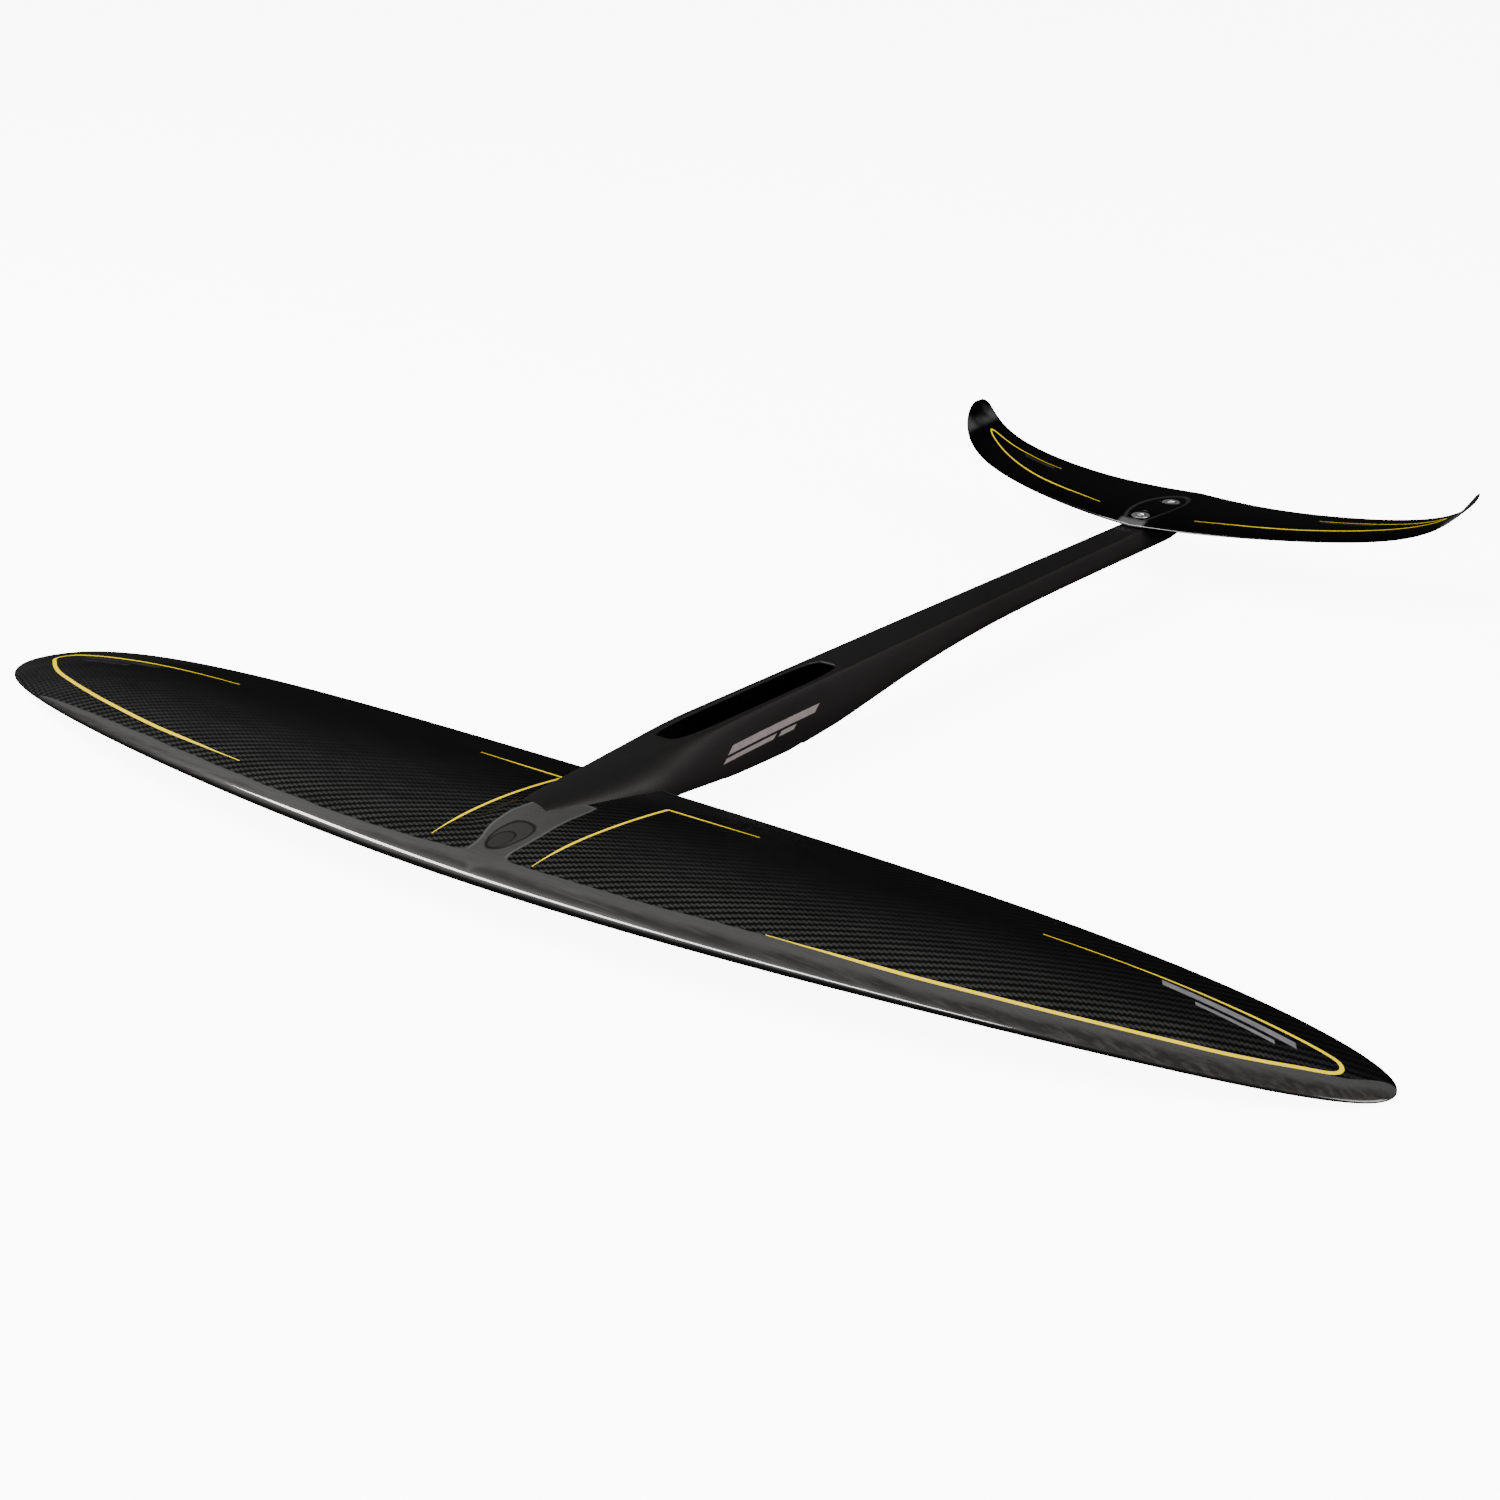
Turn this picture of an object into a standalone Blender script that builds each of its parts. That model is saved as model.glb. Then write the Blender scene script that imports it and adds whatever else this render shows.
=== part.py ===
"""Hydrofoil set: front wing, fuselage with mast socket, stabiliser and fasteners.

Frame: the origin is the middle of the mast socket's floor. +X runs across the span,
+Y runs aft along the fuselage and +Z points up towards the mast. Units are metres.
"""

import math

import bmesh
import bpy
from mathutils import Matrix, Vector

# Clearance between touching pieces.
GAP = 0.0003

# Fuselage. Distances along it are measured aft from the nose.
FUSELAGE_LENGTH = 0.640
NOSE_Y = -0.1773
TOP_Z = 0.025
NOSE_TOP_DROP = 0.0030
STEP_AT = 0.0788
SECTION_FULLNESS = 2.0
FUSELAGE_STATIONS = 38
STATION_CROWDING = 0.06
EDGE_POINTS = 4
SIDE_POINTS = 5

# Outlines of the fuselage as (distance from nose, value): half-widths, and heights under TOP_Z.
FLAT_TOP_HALF_WIDTH = ((0.0, 0.0004), (0.050, 0.0008), (0.080, 0.0035), (0.100, 0.0082),
                       (0.120, 0.0120), (0.140, 0.0133), (0.200, 0.0130), (0.640, 0.0075))
WIDEST_HALF_WIDTH = ((0.0, 0.0105), (0.030, 0.0168), (0.060, 0.0207), (0.079, 0.0222),
                     (0.100, 0.0208), (0.140, 0.0174), (0.190, 0.0156), (0.260, 0.0148),
                     (0.360, 0.0130), (0.480, 0.0113), (0.640, 0.0094))
TOP_LINE = ((0.0, -NOSE_TOP_DROP), (0.050, -0.0018), (0.100, 0.0), (0.640, 0.0))
WIDEST_LINE = ((0.079, -0.0173), (0.120, -0.0180), (0.200, -0.0177), (0.260, -0.0158),
               (0.360, -0.0115), (0.420, -0.0095), (0.500, -0.0090), (0.640, -0.0085))
BELLY_LINE = ((0.0, -0.0245), (0.079, -0.0300), (0.105, -0.0326), (0.130, -0.0356),
              (0.160, -0.0386), (0.206, -0.0397), (0.243, -0.0375), (0.281, -0.0323),
              (0.321, -0.0264), (0.382, -0.0208), (0.425, -0.0189), (0.480, -0.0180),
              (0.613, -0.0186), (0.640, -0.0120))

# Seat of the front wing: a plane that slopes down aft under the fuselage's nose.
SEAT_DROP = 0.0082
SEAT_SLOPE = 0.1154
KEEL_DEPTH = 0.0135
KEEL_FULLNESS = 3.4
KEEL_STATIONS = 12

# Mast socket: a long rounded slot, open at the top, with its floor at z = 0.
SOCKET_LENGTH = 0.1456
SOCKET_HALF_WIDTH = 0.0102
SOCKET_FULLNESS = 4.5
SOCKET_POINTS = 32
MAST_SCREW_SPACING = 0.070

# Front wing planform and dihedral, with s as the fraction of the half span.
HALF_SPAN = 0.4522
ROOT_CHORD = 0.1453
CHORD_POWERS = (1.80, 1.0 / 2.16)
CHORD_AHEAD = 0.4832
WING_REFERENCE = (0.0021, 0.0112, 0.0391)
WING_HEIGHT = (-0.0168, 0.0102, -0.0364)
WING_THICKNESS = 0.115
WING_CAMBER = 0.015
WING_EDGE_HALF = 0.00045
EDGE_LIMIT = 0.1
SKIN = 0.0012
BAND_FRACTION = 0.13
BAND_GROWTH = 0.65
BAND_GROWS_FROM = 0.86
SKIN_END = 0.94
CORE_END = 0.85
CORE_REAR = 0.80
TIP_END = 0.9990
ROOT_STATIONS = (0.0, 0.0035, 0.0075, 0.0115, 0.0160, 0.0210, 0.0270, 0.0350, 0.0480)
OUTER_STATIONS = 15
TIP_STATIONS = 6
NOTCH_STATIONS = 12
CHORD_POINTS = 8
NOSE_POINTS = 6
CORE_POINTS = 5

# Moulded fairing that leads the wing's upper skin up to the fuselage's nose.
FAIRING_LENGTH = 0.045
FAIRING_TAIL = 0.034
FAIRING_HALF_WIDTH = 0.0125
FAIRING_RISE = 0.0046
FAIRING_SHAPE = (0.9, 2.6)

# Stabiliser, with t as the fraction of the half-span's arc.
STAB_ARC = 0.1989
STAB_CURL = (0.0611, 1.6547, 10.01)
STAB_LEAN_LIMIT = 1.433
STAB_LEAN_SHARPNESS = 4.0
STAB_TWIST = (0.1155, 3.62)
STAB_TWIST_AXIS = 0.3
STAB_CHORD = 0.0863
STAB_ROOT_GROWTH = 0.0043
STAB_ROOT_REACH = 0.208
STAB_TAPER = 0.5318
STAB_TIP_POWERS = (9.27, 0.409)
STAB_AHEAD = 0.4449
STAB_REFERENCE = (0.6130, 0.0702, -0.0052)
STAB_HEIGHT = 0.0015
STAB_UPPER = 0.110
STAB_THINNING = 0.5
STAB_LOWER = 0.0130
STAB_LOWER_POWER = 0.4
STAB_EDGE_HALF = 0.0003
STAB_TIP_END = 0.9985
STAB_STATIONS = 14
STAB_SPINE_STEPS = 60
STAB_SCREWS = (0.5869, 0.6249)

# Fasteners: countersunk machine screws in cup washers, with sleeve inserts for their threads.
WING_SCREWS = (0.018, 0.043, 0.068)
M8 = {"shank": 0.0040, "head": 0.0079, "drive": 0.0029, "insert": 0.0056}
M6 = {"shank": 0.0030, "head": 0.0059, "drive": 0.0023, "insert": 0.0044}
WING_SCREW_LENGTH = 0.0160
MAST_SCREW_LENGTH = 0.0250
STAB_SCREW_LENGTH = 0.0128
WING_INSERT_LENGTH = 0.0048
STAB_INSERT_LENGTH = 0.0090
WING_HEAD_RECESS = 0.0018
MAST_HEAD_RECESS = 0.0034
STAB_HEAD_RECESS = 0.0006
HEAD_RIM = 0.0005
SHANK_CHAMFER = 0.25
DRIVE_DEPTH = 0.0026
CUP_WALL = 0.0008
THREAD_ROOM = 0.0003
INSERT_CHAMFER = 0.0003
ROUND_SEGMENTS = 16
ROUND_SHARP_DEGREES = 30.0
CUTTER_REACH = 0.03

HEX_SIDES = 6
DISSOLVE_DISTANCE = 1e-7


def clear_scene():
    """Remove every object, so that the script always starts from nothing."""
    for old in list(bpy.data.objects):
        bpy.data.objects.remove(old, do_unlink=True)


def smooth(value):
    """Ease from 0 to 1 as value goes from 0 to 1."""
    value = min(max(value, 0.0), 1.0)
    return value * value * (3.0 - 2.0 * value)


def along(line, distance):
    """Read a smooth curve through (distance, value) points."""
    if distance <= line[0][0]:
        return line[0][1]
    if distance >= line[-1][0]:
        return line[-1][1]
    slopes = [slope_at(line, index) for index in range(len(line))]
    index = next(i for i in range(len(line) - 1) if distance <= line[i + 1][0])
    start, end = line[index], line[index + 1]
    width = end[0] - start[0]
    part = (distance - start[0]) / width
    rise = part * part * (3.0 - 2.0 * part)
    leave = part * (1.0 - part) ** 2
    arrive = part * part * (part - 1.0)
    value = start[1] + (end[1] - start[1]) * rise
    return value + width * (slopes[index] * leave + slopes[index + 1] * arrive)


def slope_at(line, index):
    """Slope of a smooth curve at one of its points, flat where the curve turns."""
    if index in (0, len(line) - 1):
        other = index + 1 if index == 0 else index - 1
        return (line[other][1] - line[index][1]) / (line[other][0] - line[index][0])
    before = (line[index][1] - line[index - 1][1]) / (line[index][0] - line[index - 1][0])
    after = (line[index + 1][1] - line[index][1]) / (line[index + 1][0] - line[index][0])
    if before * after <= 0.0:
        return 0.0
    return 2.0 * before * after / (before + after)


def principled(name, color, roughness, metallic=0.0, coat=0.0):
    """Make a material from its colour and its surface."""
    material = bpy.data.materials.new(name)
    material.use_nodes = True
    shader = material.node_tree.nodes["Principled BSDF"]
    shader.inputs["Base Color"].default_value = (*color, 1.0)
    shader.inputs["Roughness"].default_value = roughness
    shader.inputs["Metallic"].default_value = metallic
    shader.inputs["Coat Weight"].default_value = coat
    material.diffuse_color = (*color, 1.0)
    return material


def twill_carbon():
    return principled("twill_carbon", (0.012, 0.012, 0.013), 0.22, coat=1.0)


def directional_carbon():
    return principled("directional_carbon", (0.06, 0.06, 0.063), 0.30, coat=1.0)


def anodised_aluminium():
    return principled("anodised_aluminium", (0.030, 0.026, 0.026), 0.42, metallic=0.6)


def foam_core():
    return principled("foam_core", (0.62, 0.55, 0.38), 0.85)


def laminate_block():
    return principled("laminate_block", (0.020, 0.020, 0.021), 0.35, coat=0.5)


def stainless_steel():
    return principled("stainless_steel", (0.62, 0.62, 0.63), 0.25, metallic=1.0)


def insert_steel():
    return principled("insert_steel", (0.45, 0.44, 0.42), 0.35, metallic=1.0)


def new_object(name, mesh, material=None):
    """Put a mesh in the scene under a name."""
    built = bpy.data.objects.new(name, mesh)
    bpy.context.scene.collection.objects.link(built)
    if material:
        mesh.materials.append(material)
    return built


def finish_mesh(name, bm, material, sharp_degrees):
    """Turn a bmesh into a smooth shaded object whose faces point out."""
    bmesh.ops.remove_doubles(bm, verts=bm.verts, dist=DISSOLVE_DISTANCE)
    bmesh.ops.recalc_face_normals(bm, faces=bm.faces)
    mesh = bpy.data.meshes.new(name)
    bm.to_mesh(mesh)
    bm.free()
    mesh.shade_smooth()
    mesh.set_sharp_from_angle(angle=math.radians(sharp_degrees))
    return new_object(name, mesh, material)


def loft(name, rings, material=None, sharp_degrees=35.0):
    """Skin a row of closed rings, with a flat cap at each end."""
    bm = bmesh.new()
    rows = [[bm.verts.new(point) for point in ring] for ring in rings]
    count = len(rows[0])
    for row, following in zip(rows, rows[1:]):
        for k in range(count):
            after = (k + 1) % count
            bm.faces.new((row[k], row[after], following[after], following[k]))
    bm.faces.new(rows[0])
    bm.faces.new(rows[-1])
    return finish_mesh(name, bm, material, sharp_degrees)


def turned(name, profile, place, material=None, closed=False, segments=ROUND_SEGMENTS):
    """Turn a profile of (radius, height) points about the z axis of a place."""
    bm = bmesh.new()
    points = [bm.verts.new((radius, 0.0, height)) for radius, height in profile]
    pairs = list(zip(points, points[1:]))
    if closed:
        pairs.append((points[-1], points[0]))
    edges = [bm.edges.new(pair) for pair in pairs]
    bmesh.ops.spin(bm, geom=points + edges, cent=(0, 0, 0), axis=(0, 0, 1),
                   angle=math.tau, steps=segments, use_merge=True)
    built = finish_mesh(name, bm, material, ROUND_SHARP_DEGREES)
    built.matrix_world = place
    return built


def prism(name, outline, low, high):
    """Extrude an outline of (x, y) points straight up from low to high."""
    rings = [[Vector((x, y, z)) for x, y in outline] for z in (low, high)]
    return loft(name, rings)


def hide_cutter(cutter):
    cutter.hide_render = True
    cutter.display_type = "WIRE"


def cut(target, cutter):
    """Subtract a cutter from a piece."""
    hide_cutter(cutter)
    modifier = target.modifiers.new("cut_" + cutter.name, "BOOLEAN")
    modifier.operation = "DIFFERENCE"
    modifier.solver = "EXACT"
    modifier.object = cutter


# Fuselage


def seat_height(distance):
    """Height of the front wing's seat plane at a distance from the nose."""
    return TOP_Z - SEAT_DROP - SEAT_SLOPE * distance


def widest_height(distance):
    """Height at which the fuselage is widest; over the wing this is the seat itself."""
    if distance <= STEP_AT:
        return seat_height(distance)
    return TOP_Z + along(WIDEST_LINE, distance)


def fuselage_half_section(distance):
    """Points from the top centre, round the side, to the bottom centre of one section."""
    flat = along(FLAT_TOP_HALF_WIDTH, distance)
    wide = along(WIDEST_HALF_WIDTH, distance)
    top = TOP_Z + along(TOP_LINE, distance)
    middle = widest_height(distance)
    bottom = TOP_Z + along(BELLY_LINE, distance)
    points = []
    for k in range(EDGE_POINTS + 1):
        angle = 0.5 * math.pi * k / EDGE_POINTS
        across = math.sin(angle) ** (2.0 / SECTION_FULLNESS)
        up = math.cos(angle) ** (2.0 / SECTION_FULLNESS)
        points.append((flat + (wide - flat) * across, middle + (top - middle) * up))
    for k in range(1, SIDE_POINTS + 1):
        angle = 0.5 * math.pi * k / SIDE_POINTS
        across = math.cos(angle) ** (2.0 / SECTION_FULLNESS)
        down = math.sin(angle) ** (2.0 / SECTION_FULLNESS)
        points.append((max(wide * across, 0.0), middle - (middle - bottom) * down))
    points[-1] = (0.0, bottom)
    return points


def fuselage_ring(distance):
    """One closed section of the fuselage."""
    half = fuselage_half_section(distance)
    y = NOSE_Y + distance
    right = [Vector((x, y, z)) for x, z in half]
    left = [Vector((-x, y, z)) for x, z in reversed(half[:-1])]
    return right + left


def fuselage_distances():
    """Section places, closer together at the nose and the tail."""
    last = FUSELAGE_STATIONS - 1
    places = []
    for k in range(FUSELAGE_STATIONS):
        part = k / last
        shift = STATION_CROWDING * math.sin(math.tau * part)
        places.append(FUSELAGE_LENGTH * (part - shift))
    return places


def socket_outline():
    """Long rounded slot that takes the foot of the mast."""
    outline = []
    for k in range(SOCKET_POINTS):
        angle = math.tau * k / SOCKET_POINTS
        along_slot = math.cos(angle)
        across = math.sin(angle)
        y = 0.5 * SOCKET_LENGTH * math.copysign(abs(along_slot) ** (2.0 / SOCKET_FULLNESS), along_slot)
        x = SOCKET_HALF_WIDTH * math.copysign(abs(across) ** (2.0 / SOCKET_FULLNESS), across)
        outline.append((x, y))
    return outline


def under_nose_cutter():
    """Everything under the seat plane, ahead of the step in the belly."""
    reach = CUTTER_REACH
    side = [(-reach, seat_height(-reach)), (STEP_AT, seat_height(STEP_AT)),
            (STEP_AT, -reach), (-reach, -reach)]
    rings = [[Vector((x, NOSE_Y + d, z)) for d, z in side] for x in (-reach, reach)]
    return loft("under_nose_cutter", rings)


def build_fuselage():
    rings = [fuselage_ring(distance) for distance in fuselage_distances()]
    fuselage = loft("fuselage", rings, anodised_aluminium(), sharp_degrees=28.0)
    cut(fuselage, under_nose_cutter())
    cut(fuselage, prism("socket_cutter", socket_outline(), 0.0, TOP_Z + CUTTER_REACH))
    return fuselage


# Front wing


def wing_chord(s):
    body, tip = CHORD_POWERS
    return ROOT_CHORD * (1.0 - abs(s) ** body) ** tip


def wing_leading_y(s):
    base, second, fourth = WING_REFERENCE
    reference = NOSE_Y + base + second * s ** 2 + fourth * s ** 4
    return reference - CHORD_AHEAD * wing_chord(s)


def wing_height(s):
    base, second, fourth = WING_HEIGHT
    return TOP_Z + base + second * s ** 2 + fourth * s ** 4


def half_thickness(u, thickness):
    """Half thickness of a round-nosed section at chord fraction u."""
    return 5.0 * thickness * (0.2969 * math.sqrt(u) - 0.1260 * u - 0.3516 * u ** 2
                              + 0.2843 * u ** 3 - 0.1015 * u ** 4)


def wing_camber_point(s, u):
    chord = wing_chord(s)
    y = wing_leading_y(s) + u * chord
    z = wing_height(s) + 4.0 * WING_CAMBER * u * (1.0 - u) * chord
    return y, z


def wing_half(s, u):
    """Half thickness of the wing, in metres, with a blunt trailing edge."""
    chord = wing_chord(s)
    edge = min(WING_EDGE_HALF, EDGE_LIMIT * chord)
    return half_thickness(u, WING_THICKNESS) * chord + edge * u


def fairing(x, y):
    """Height that the nose fairing adds to the upper skin: a ridge that fades forward and aft."""
    ahead = NOSE_Y - y
    if ahead >= 0.0:
        fade = smooth(1.0 - ahead / FAIRING_LENGTH)
    else:
        fade = smooth(1.0 + ahead / FAIRING_TAIL)
    steepness, power = FAIRING_SHAPE
    across = abs(x) / FAIRING_HALF_WIDTH
    return FAIRING_RISE * fade * math.exp(-steepness * across ** power)


def wing_upper(s, u):
    y, middle = wing_camber_point(s, u)
    return middle + wing_half(s, u) + fairing(s * HALF_SPAN, y)


def wing_lower(s, u):
    _, middle = wing_camber_point(s, u)
    return middle - wing_half(s, u)


def band_fraction(s):
    """Chord fraction that the leading edge piece covers."""
    if abs(s) > SKIN_END:
        return 1.0
    growth = smooth((abs(s) - BAND_GROWS_FROM) / (SKIN_END - BAND_GROWS_FROM))
    return BAND_FRACTION + BAND_GROWTH * growth


def wing_point(s, u, z):
    y, _ = wing_camber_point(s, u)
    return Vector((s * HALF_SPAN, y, z))


def leading_edge_ring(s):
    """Section of the leading edge piece: round nose, flat rear face."""
    rear = band_fraction(s)
    turns = [0.5 * math.pi * k / NOSE_POINTS for k in range(NOSE_POINTS + 1)]
    fractions = [rear * (1.0 - math.cos(angle)) for angle in turns]
    upper = [wing_point(s, u, wing_upper(s, u)) for u in reversed(fractions)]
    lower = [wing_point(s, u, wing_lower(s, u)) for u in fractions[1:]]
    return upper + lower


def skin_fractions(s, start_gap):
    """Chord fractions from just behind the leading edge piece to the trailing edge."""
    start = band_fraction(s) + start_gap / wing_chord(s)
    return [start + (1.0 - start) * k / CHORD_POINTS for k in range(CHORD_POINTS + 1)]


def skin_ring(s, upper_side):
    """Section of the upper or the lower skin."""
    outer = []
    inner = []
    for u in skin_fractions(s, GAP):
        _, middle = wing_camber_point(s, u)
        half = wing_half(s, u)
        near_middle = max(half - SKIN, 0.5 * GAP)
        if upper_side:
            surface = wing_upper(s, u)
            outer.append(wing_point(s, u, surface))
            inner.append(wing_point(s, u, middle + near_middle))
        else:
            surface = wing_lower(s, u)
            outer.append(wing_point(s, u, surface))
            inner.append(wing_point(s, u, middle - near_middle))
    return outer + list(reversed(inner))


def core_ring(s):
    """Section of the foam core, inside both skins."""
    start = band_fraction(s) + GAP / wing_chord(s)
    upper = []
    lower = []
    for k in range(CORE_POINTS + 1):
        u = start + (CORE_REAR - start) * k / CORE_POINTS
        _, middle = wing_camber_point(s, u)
        half = max(wing_half(s, u) - SKIN - GAP, 0.5 * GAP)
        upper.append(wing_point(s, u, middle + half))
        lower.append(wing_point(s, u, middle - half))
    return upper + list(reversed(lower))


def half_span_stations(end):
    """Span fractions from the root to an end: fine at the root and at the tip."""
    start = ROOT_STATIONS[-1]
    outer = []
    for k in range(1, OUTER_STATIONS + 1):
        part = math.sin(0.5 * math.pi * k / OUTER_STATIONS)
        outer.append(start + (end - start) * part)
    return list(ROOT_STATIONS) + outer


def both_sides(stations):
    return [-s for s in reversed(stations[1:])] + stations


def leading_edge_stations():
    """Stations with a wall at the skins' ends, where the tip becomes solid."""
    inner = half_span_stations(SKIN_END)
    wall = [SKIN_END + GAP / HALF_SPAN]
    start = wall[0]
    tip = []
    for k in range(1, TIP_STATIONS + 1):
        part = math.sin(0.5 * math.pi * k / TIP_STATIONS)
        tip.append(start + (TIP_END - start) * part)
    return both_sides(inner + wall + tip)


def footprint(distance, clearance=0.0):
    return along(WIDEST_HALF_WIDTH, distance) + clearance


def notch_cutter(name):
    """Room for the fuselage's foot and the keel block in the wing's skins and cores."""
    rear = STEP_AT + CUTTER_REACH
    step = (STEP_AT - GAP) / NOTCH_STATIONS
    places = [GAP + step * k for k in range(NOTCH_STATIONS + 1)] + [rear]
    right = [(footprint(d, GAP), NOSE_Y + d) for d in places]
    front = [(0.0, NOSE_Y - GAP)]
    left = [(-x, y) for x, y in reversed(right)]
    first_half_width = right[0][0]
    corner = [(first_half_width, NOSE_Y - GAP)]
    mirrored = [(-first_half_width, NOSE_Y - GAP)]
    outline = front + corner + right[1:] + left[:-1] + mirrored
    return prism(name, outline, -CUTTER_REACH, TOP_Z + CUTTER_REACH)


def build_skins():
    stations = both_sides(half_span_stations(SKIN_END - GAP / HALF_SPAN))
    upper_rings = [skin_ring(s, True) for s in stations]
    lower_rings = [skin_ring(s, False) for s in stations]
    upper = loft("front_wing_upper_skin", upper_rings, twill_carbon())
    lower = loft("front_wing_lower_skin", lower_rings, twill_carbon())
    cut(upper, notch_cutter("upper_skin_notch"))
    cut(lower, notch_cutter("lower_skin_notch"))


def build_leading_edge():
    rings = [leading_edge_ring(s) for s in leading_edge_stations()]
    loft("front_wing_leading_edge", rings, directional_carbon())


def build_core(side_name, sign):
    centre_gap = 0.5 * GAP / HALF_SPAN
    stations = [max(s, centre_gap) for s in half_span_stations(CORE_END)]
    rings = [core_ring(sign * s) for s in stations]
    core = loft("front_wing_core_" + side_name, rings, foam_core())
    cut(core, notch_cutter("core_notch_" + side_name))


def keel_ring(distance):
    """Section of the keel block: flat on top under the fuselage, rounded below."""
    wide = footprint(distance)
    top = seat_height(distance) - GAP
    depth = KEEL_DEPTH - GAP
    count = 2 * SIDE_POINTS
    ring = []
    for k in range(count + 1):
        angle = math.pi * k / count
        across = math.copysign(abs(math.cos(angle)) ** (2.0 / KEEL_FULLNESS), math.cos(angle))
        down = math.sin(angle) ** (2.0 / KEEL_FULLNESS)
        ring.append(Vector((wide * across, NOSE_Y + distance, top - depth * down)))
    return ring


def build_keel_block():
    front = GAP
    rear = STEP_AT - GAP
    step = (rear - front) / KEEL_STATIONS
    rings = [keel_ring(front + step * k) for k in range(KEEL_STATIONS + 1)]
    return loft("front_wing_keel_block", rings, laminate_block(), sharp_degrees=40.0)


# Stabiliser


def stab_lean(t):
    """Lean of the spine at arc fraction t: it grows towards the tip and levels off."""
    linear, curl, power = STAB_CURL
    rising = linear * t + curl * t ** power
    return rising / (1.0 + (rising / STAB_LEAN_LIMIT) ** STAB_LEAN_SHARPNESS) ** (1.0 / STAB_LEAN_SHARPNESS)


def stab_line(t):
    """Place and lean of the stabiliser's curved spine at arc fraction t."""
    x = 0.0
    z = 0.0
    step = abs(t) / STAB_SPINE_STEPS
    for k in range(STAB_SPINE_STEPS):
        lean = stab_lean((k + 0.5) * step)
        x += STAB_ARC * step * math.cos(lean)
        z += STAB_ARC * step * math.sin(lean)
    return x, z, stab_lean(abs(t))


def stab_chord(t):
    body, tip = STAB_TIP_POWERS
    root = STAB_ROOT_GROWTH * math.exp(-(t / STAB_ROOT_REACH) ** 2)
    return root + STAB_CHORD * (1.0 - STAB_TAPER * abs(t)) * (1.0 - abs(t) ** body) ** tip


def stab_ring(t):
    """Section of the stabiliser, square to its curved spine and twisted towards the tip."""
    x, z, lean = stab_line(t)
    chord = stab_chord(t)
    base, second, eighth = STAB_REFERENCE
    leading = NOSE_Y + base + second * t ** 2 + eighth * t ** 8 - STAB_AHEAD * chord
    largest, power = STAB_TWIST
    twist = largest * abs(t) ** power
    axis = STAB_TWIST_AXIS * chord
    count = CHORD_POINTS
    fractions = [0.5 * (1.0 - math.cos(math.pi * k / count)) for k in range(count + 1)]
    sign = math.copysign(1.0, t)
    points = []
    for u, upper_side in [(u, True) for u in reversed(fractions)] + [(u, False) for u in fractions[1:]]:
        edge = min(STAB_EDGE_HALF, EDGE_LIMIT * chord) * u
        if upper_side:
            height = half_thickness(u, STAB_UPPER * (1.0 - STAB_THINNING * t ** 2)) * chord + edge
        else:
            height = -STAB_LOWER * chord * (4.0 * u * (1.0 - u)) ** STAB_LOWER_POWER - edge
        arm = u * chord - axis
        back = axis + arm * math.cos(twist) - height * math.sin(twist)
        offset = arm * math.sin(twist) + height * math.cos(twist)
        points.append(Vector((sign * (x - offset * math.sin(lean)),
                              leading + back,
                              TOP_Z + STAB_HEIGHT + z + offset * math.cos(lean))))
    return points


def build_stabiliser():
    half = [math.sin(0.5 * math.pi * k / STAB_STATIONS) * STAB_TIP_END for k in range(STAB_STATIONS + 1)]
    rings = [stab_ring(t) for t in both_sides(half)]
    return loft("stabiliser", rings, twill_carbon())


# Fasteners. Each place has its z axis pointing out of the head.


def head_depth(size):
    """Depth of a countersunk head below its face."""
    return size["head"] - size["shank"] + HEAD_RIM


def build_screw(name, size, length, place):
    """Countersunk screw with a hexagonal drive and a plain shank."""
    shank = size["shank"]
    head = size["head"]
    chamfer = SHANK_CHAMFER * shank
    profile = [(0.0, 0.0), (head, 0.0), (head, -HEAD_RIM), (shank, -head_depth(size)),
               (shank, -length + chamfer), (shank - chamfer, -length), (0.0, -length)]
    screw = turned(name, profile, place, stainless_steel())
    drive = [(size["drive"], CUTTER_REACH), (size["drive"], -DRIVE_DEPTH)]
    drive = [(0.0, CUTTER_REACH)] + drive + [(0.0, -DRIVE_DEPTH)]
    cut(screw, turned(name + "_drive", drive, place, segments=HEX_SIDES))
    return screw


def build_cup(name, size, place):
    """Countersunk cup washer between a screw's head and the piece that it holds."""
    slant = GAP * math.sqrt(2.0)
    inner = size["shank"] + slant
    top = size["head"] + slant - HEAD_RIM
    depth = head_depth(size)
    profile = [(inner, -depth), (top, -depth + top - inner),
               (top + CUP_WALL, -depth + top - inner), (inner + CUP_WALL, -depth - GAP),
               (inner, -depth - GAP)]
    return turned(name, profile, place, stainless_steel(), closed=True)


def screw_hole(name, size, length, place):
    """Cutter for a screw, its cup washer and the room above its head."""
    bore = size["shank"] + 2.0 * GAP
    depth = head_depth(size) + 3.0 * GAP
    cone = bore + CUP_WALL
    top = size["head"] + 2.0 * CUP_WALL
    profile = [(0.0, CUTTER_REACH), (top, CUTTER_REACH), (top, -depth + top - cone),
               (cone, -depth), (bore, -depth), (bore, -length), (0.0, -length)]
    return turned(name, profile, place)


def build_insert(name, size, length, place):
    """Sleeve insert; place is the middle of its mouth, z pointing out."""
    inner = size["shank"] + THREAD_ROOM
    outer = size["insert"]
    profile = [(inner + INSERT_CHAMFER, -GAP), (outer, -GAP), (outer, -length),
               (inner, -length), (inner, -GAP - INSERT_CHAMFER)]
    return turned(name, profile, place, insert_steel(), closed=True)


def insert_hole(name, size, length, place):
    """Blind hole for a sleeve insert."""
    radius = size["insert"] + GAP
    profile = [(0.0, CUTTER_REACH), (radius, CUTTER_REACH), (radius, -length - GAP),
               (0.0, -length - GAP)]
    return turned(name, profile, place)


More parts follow.
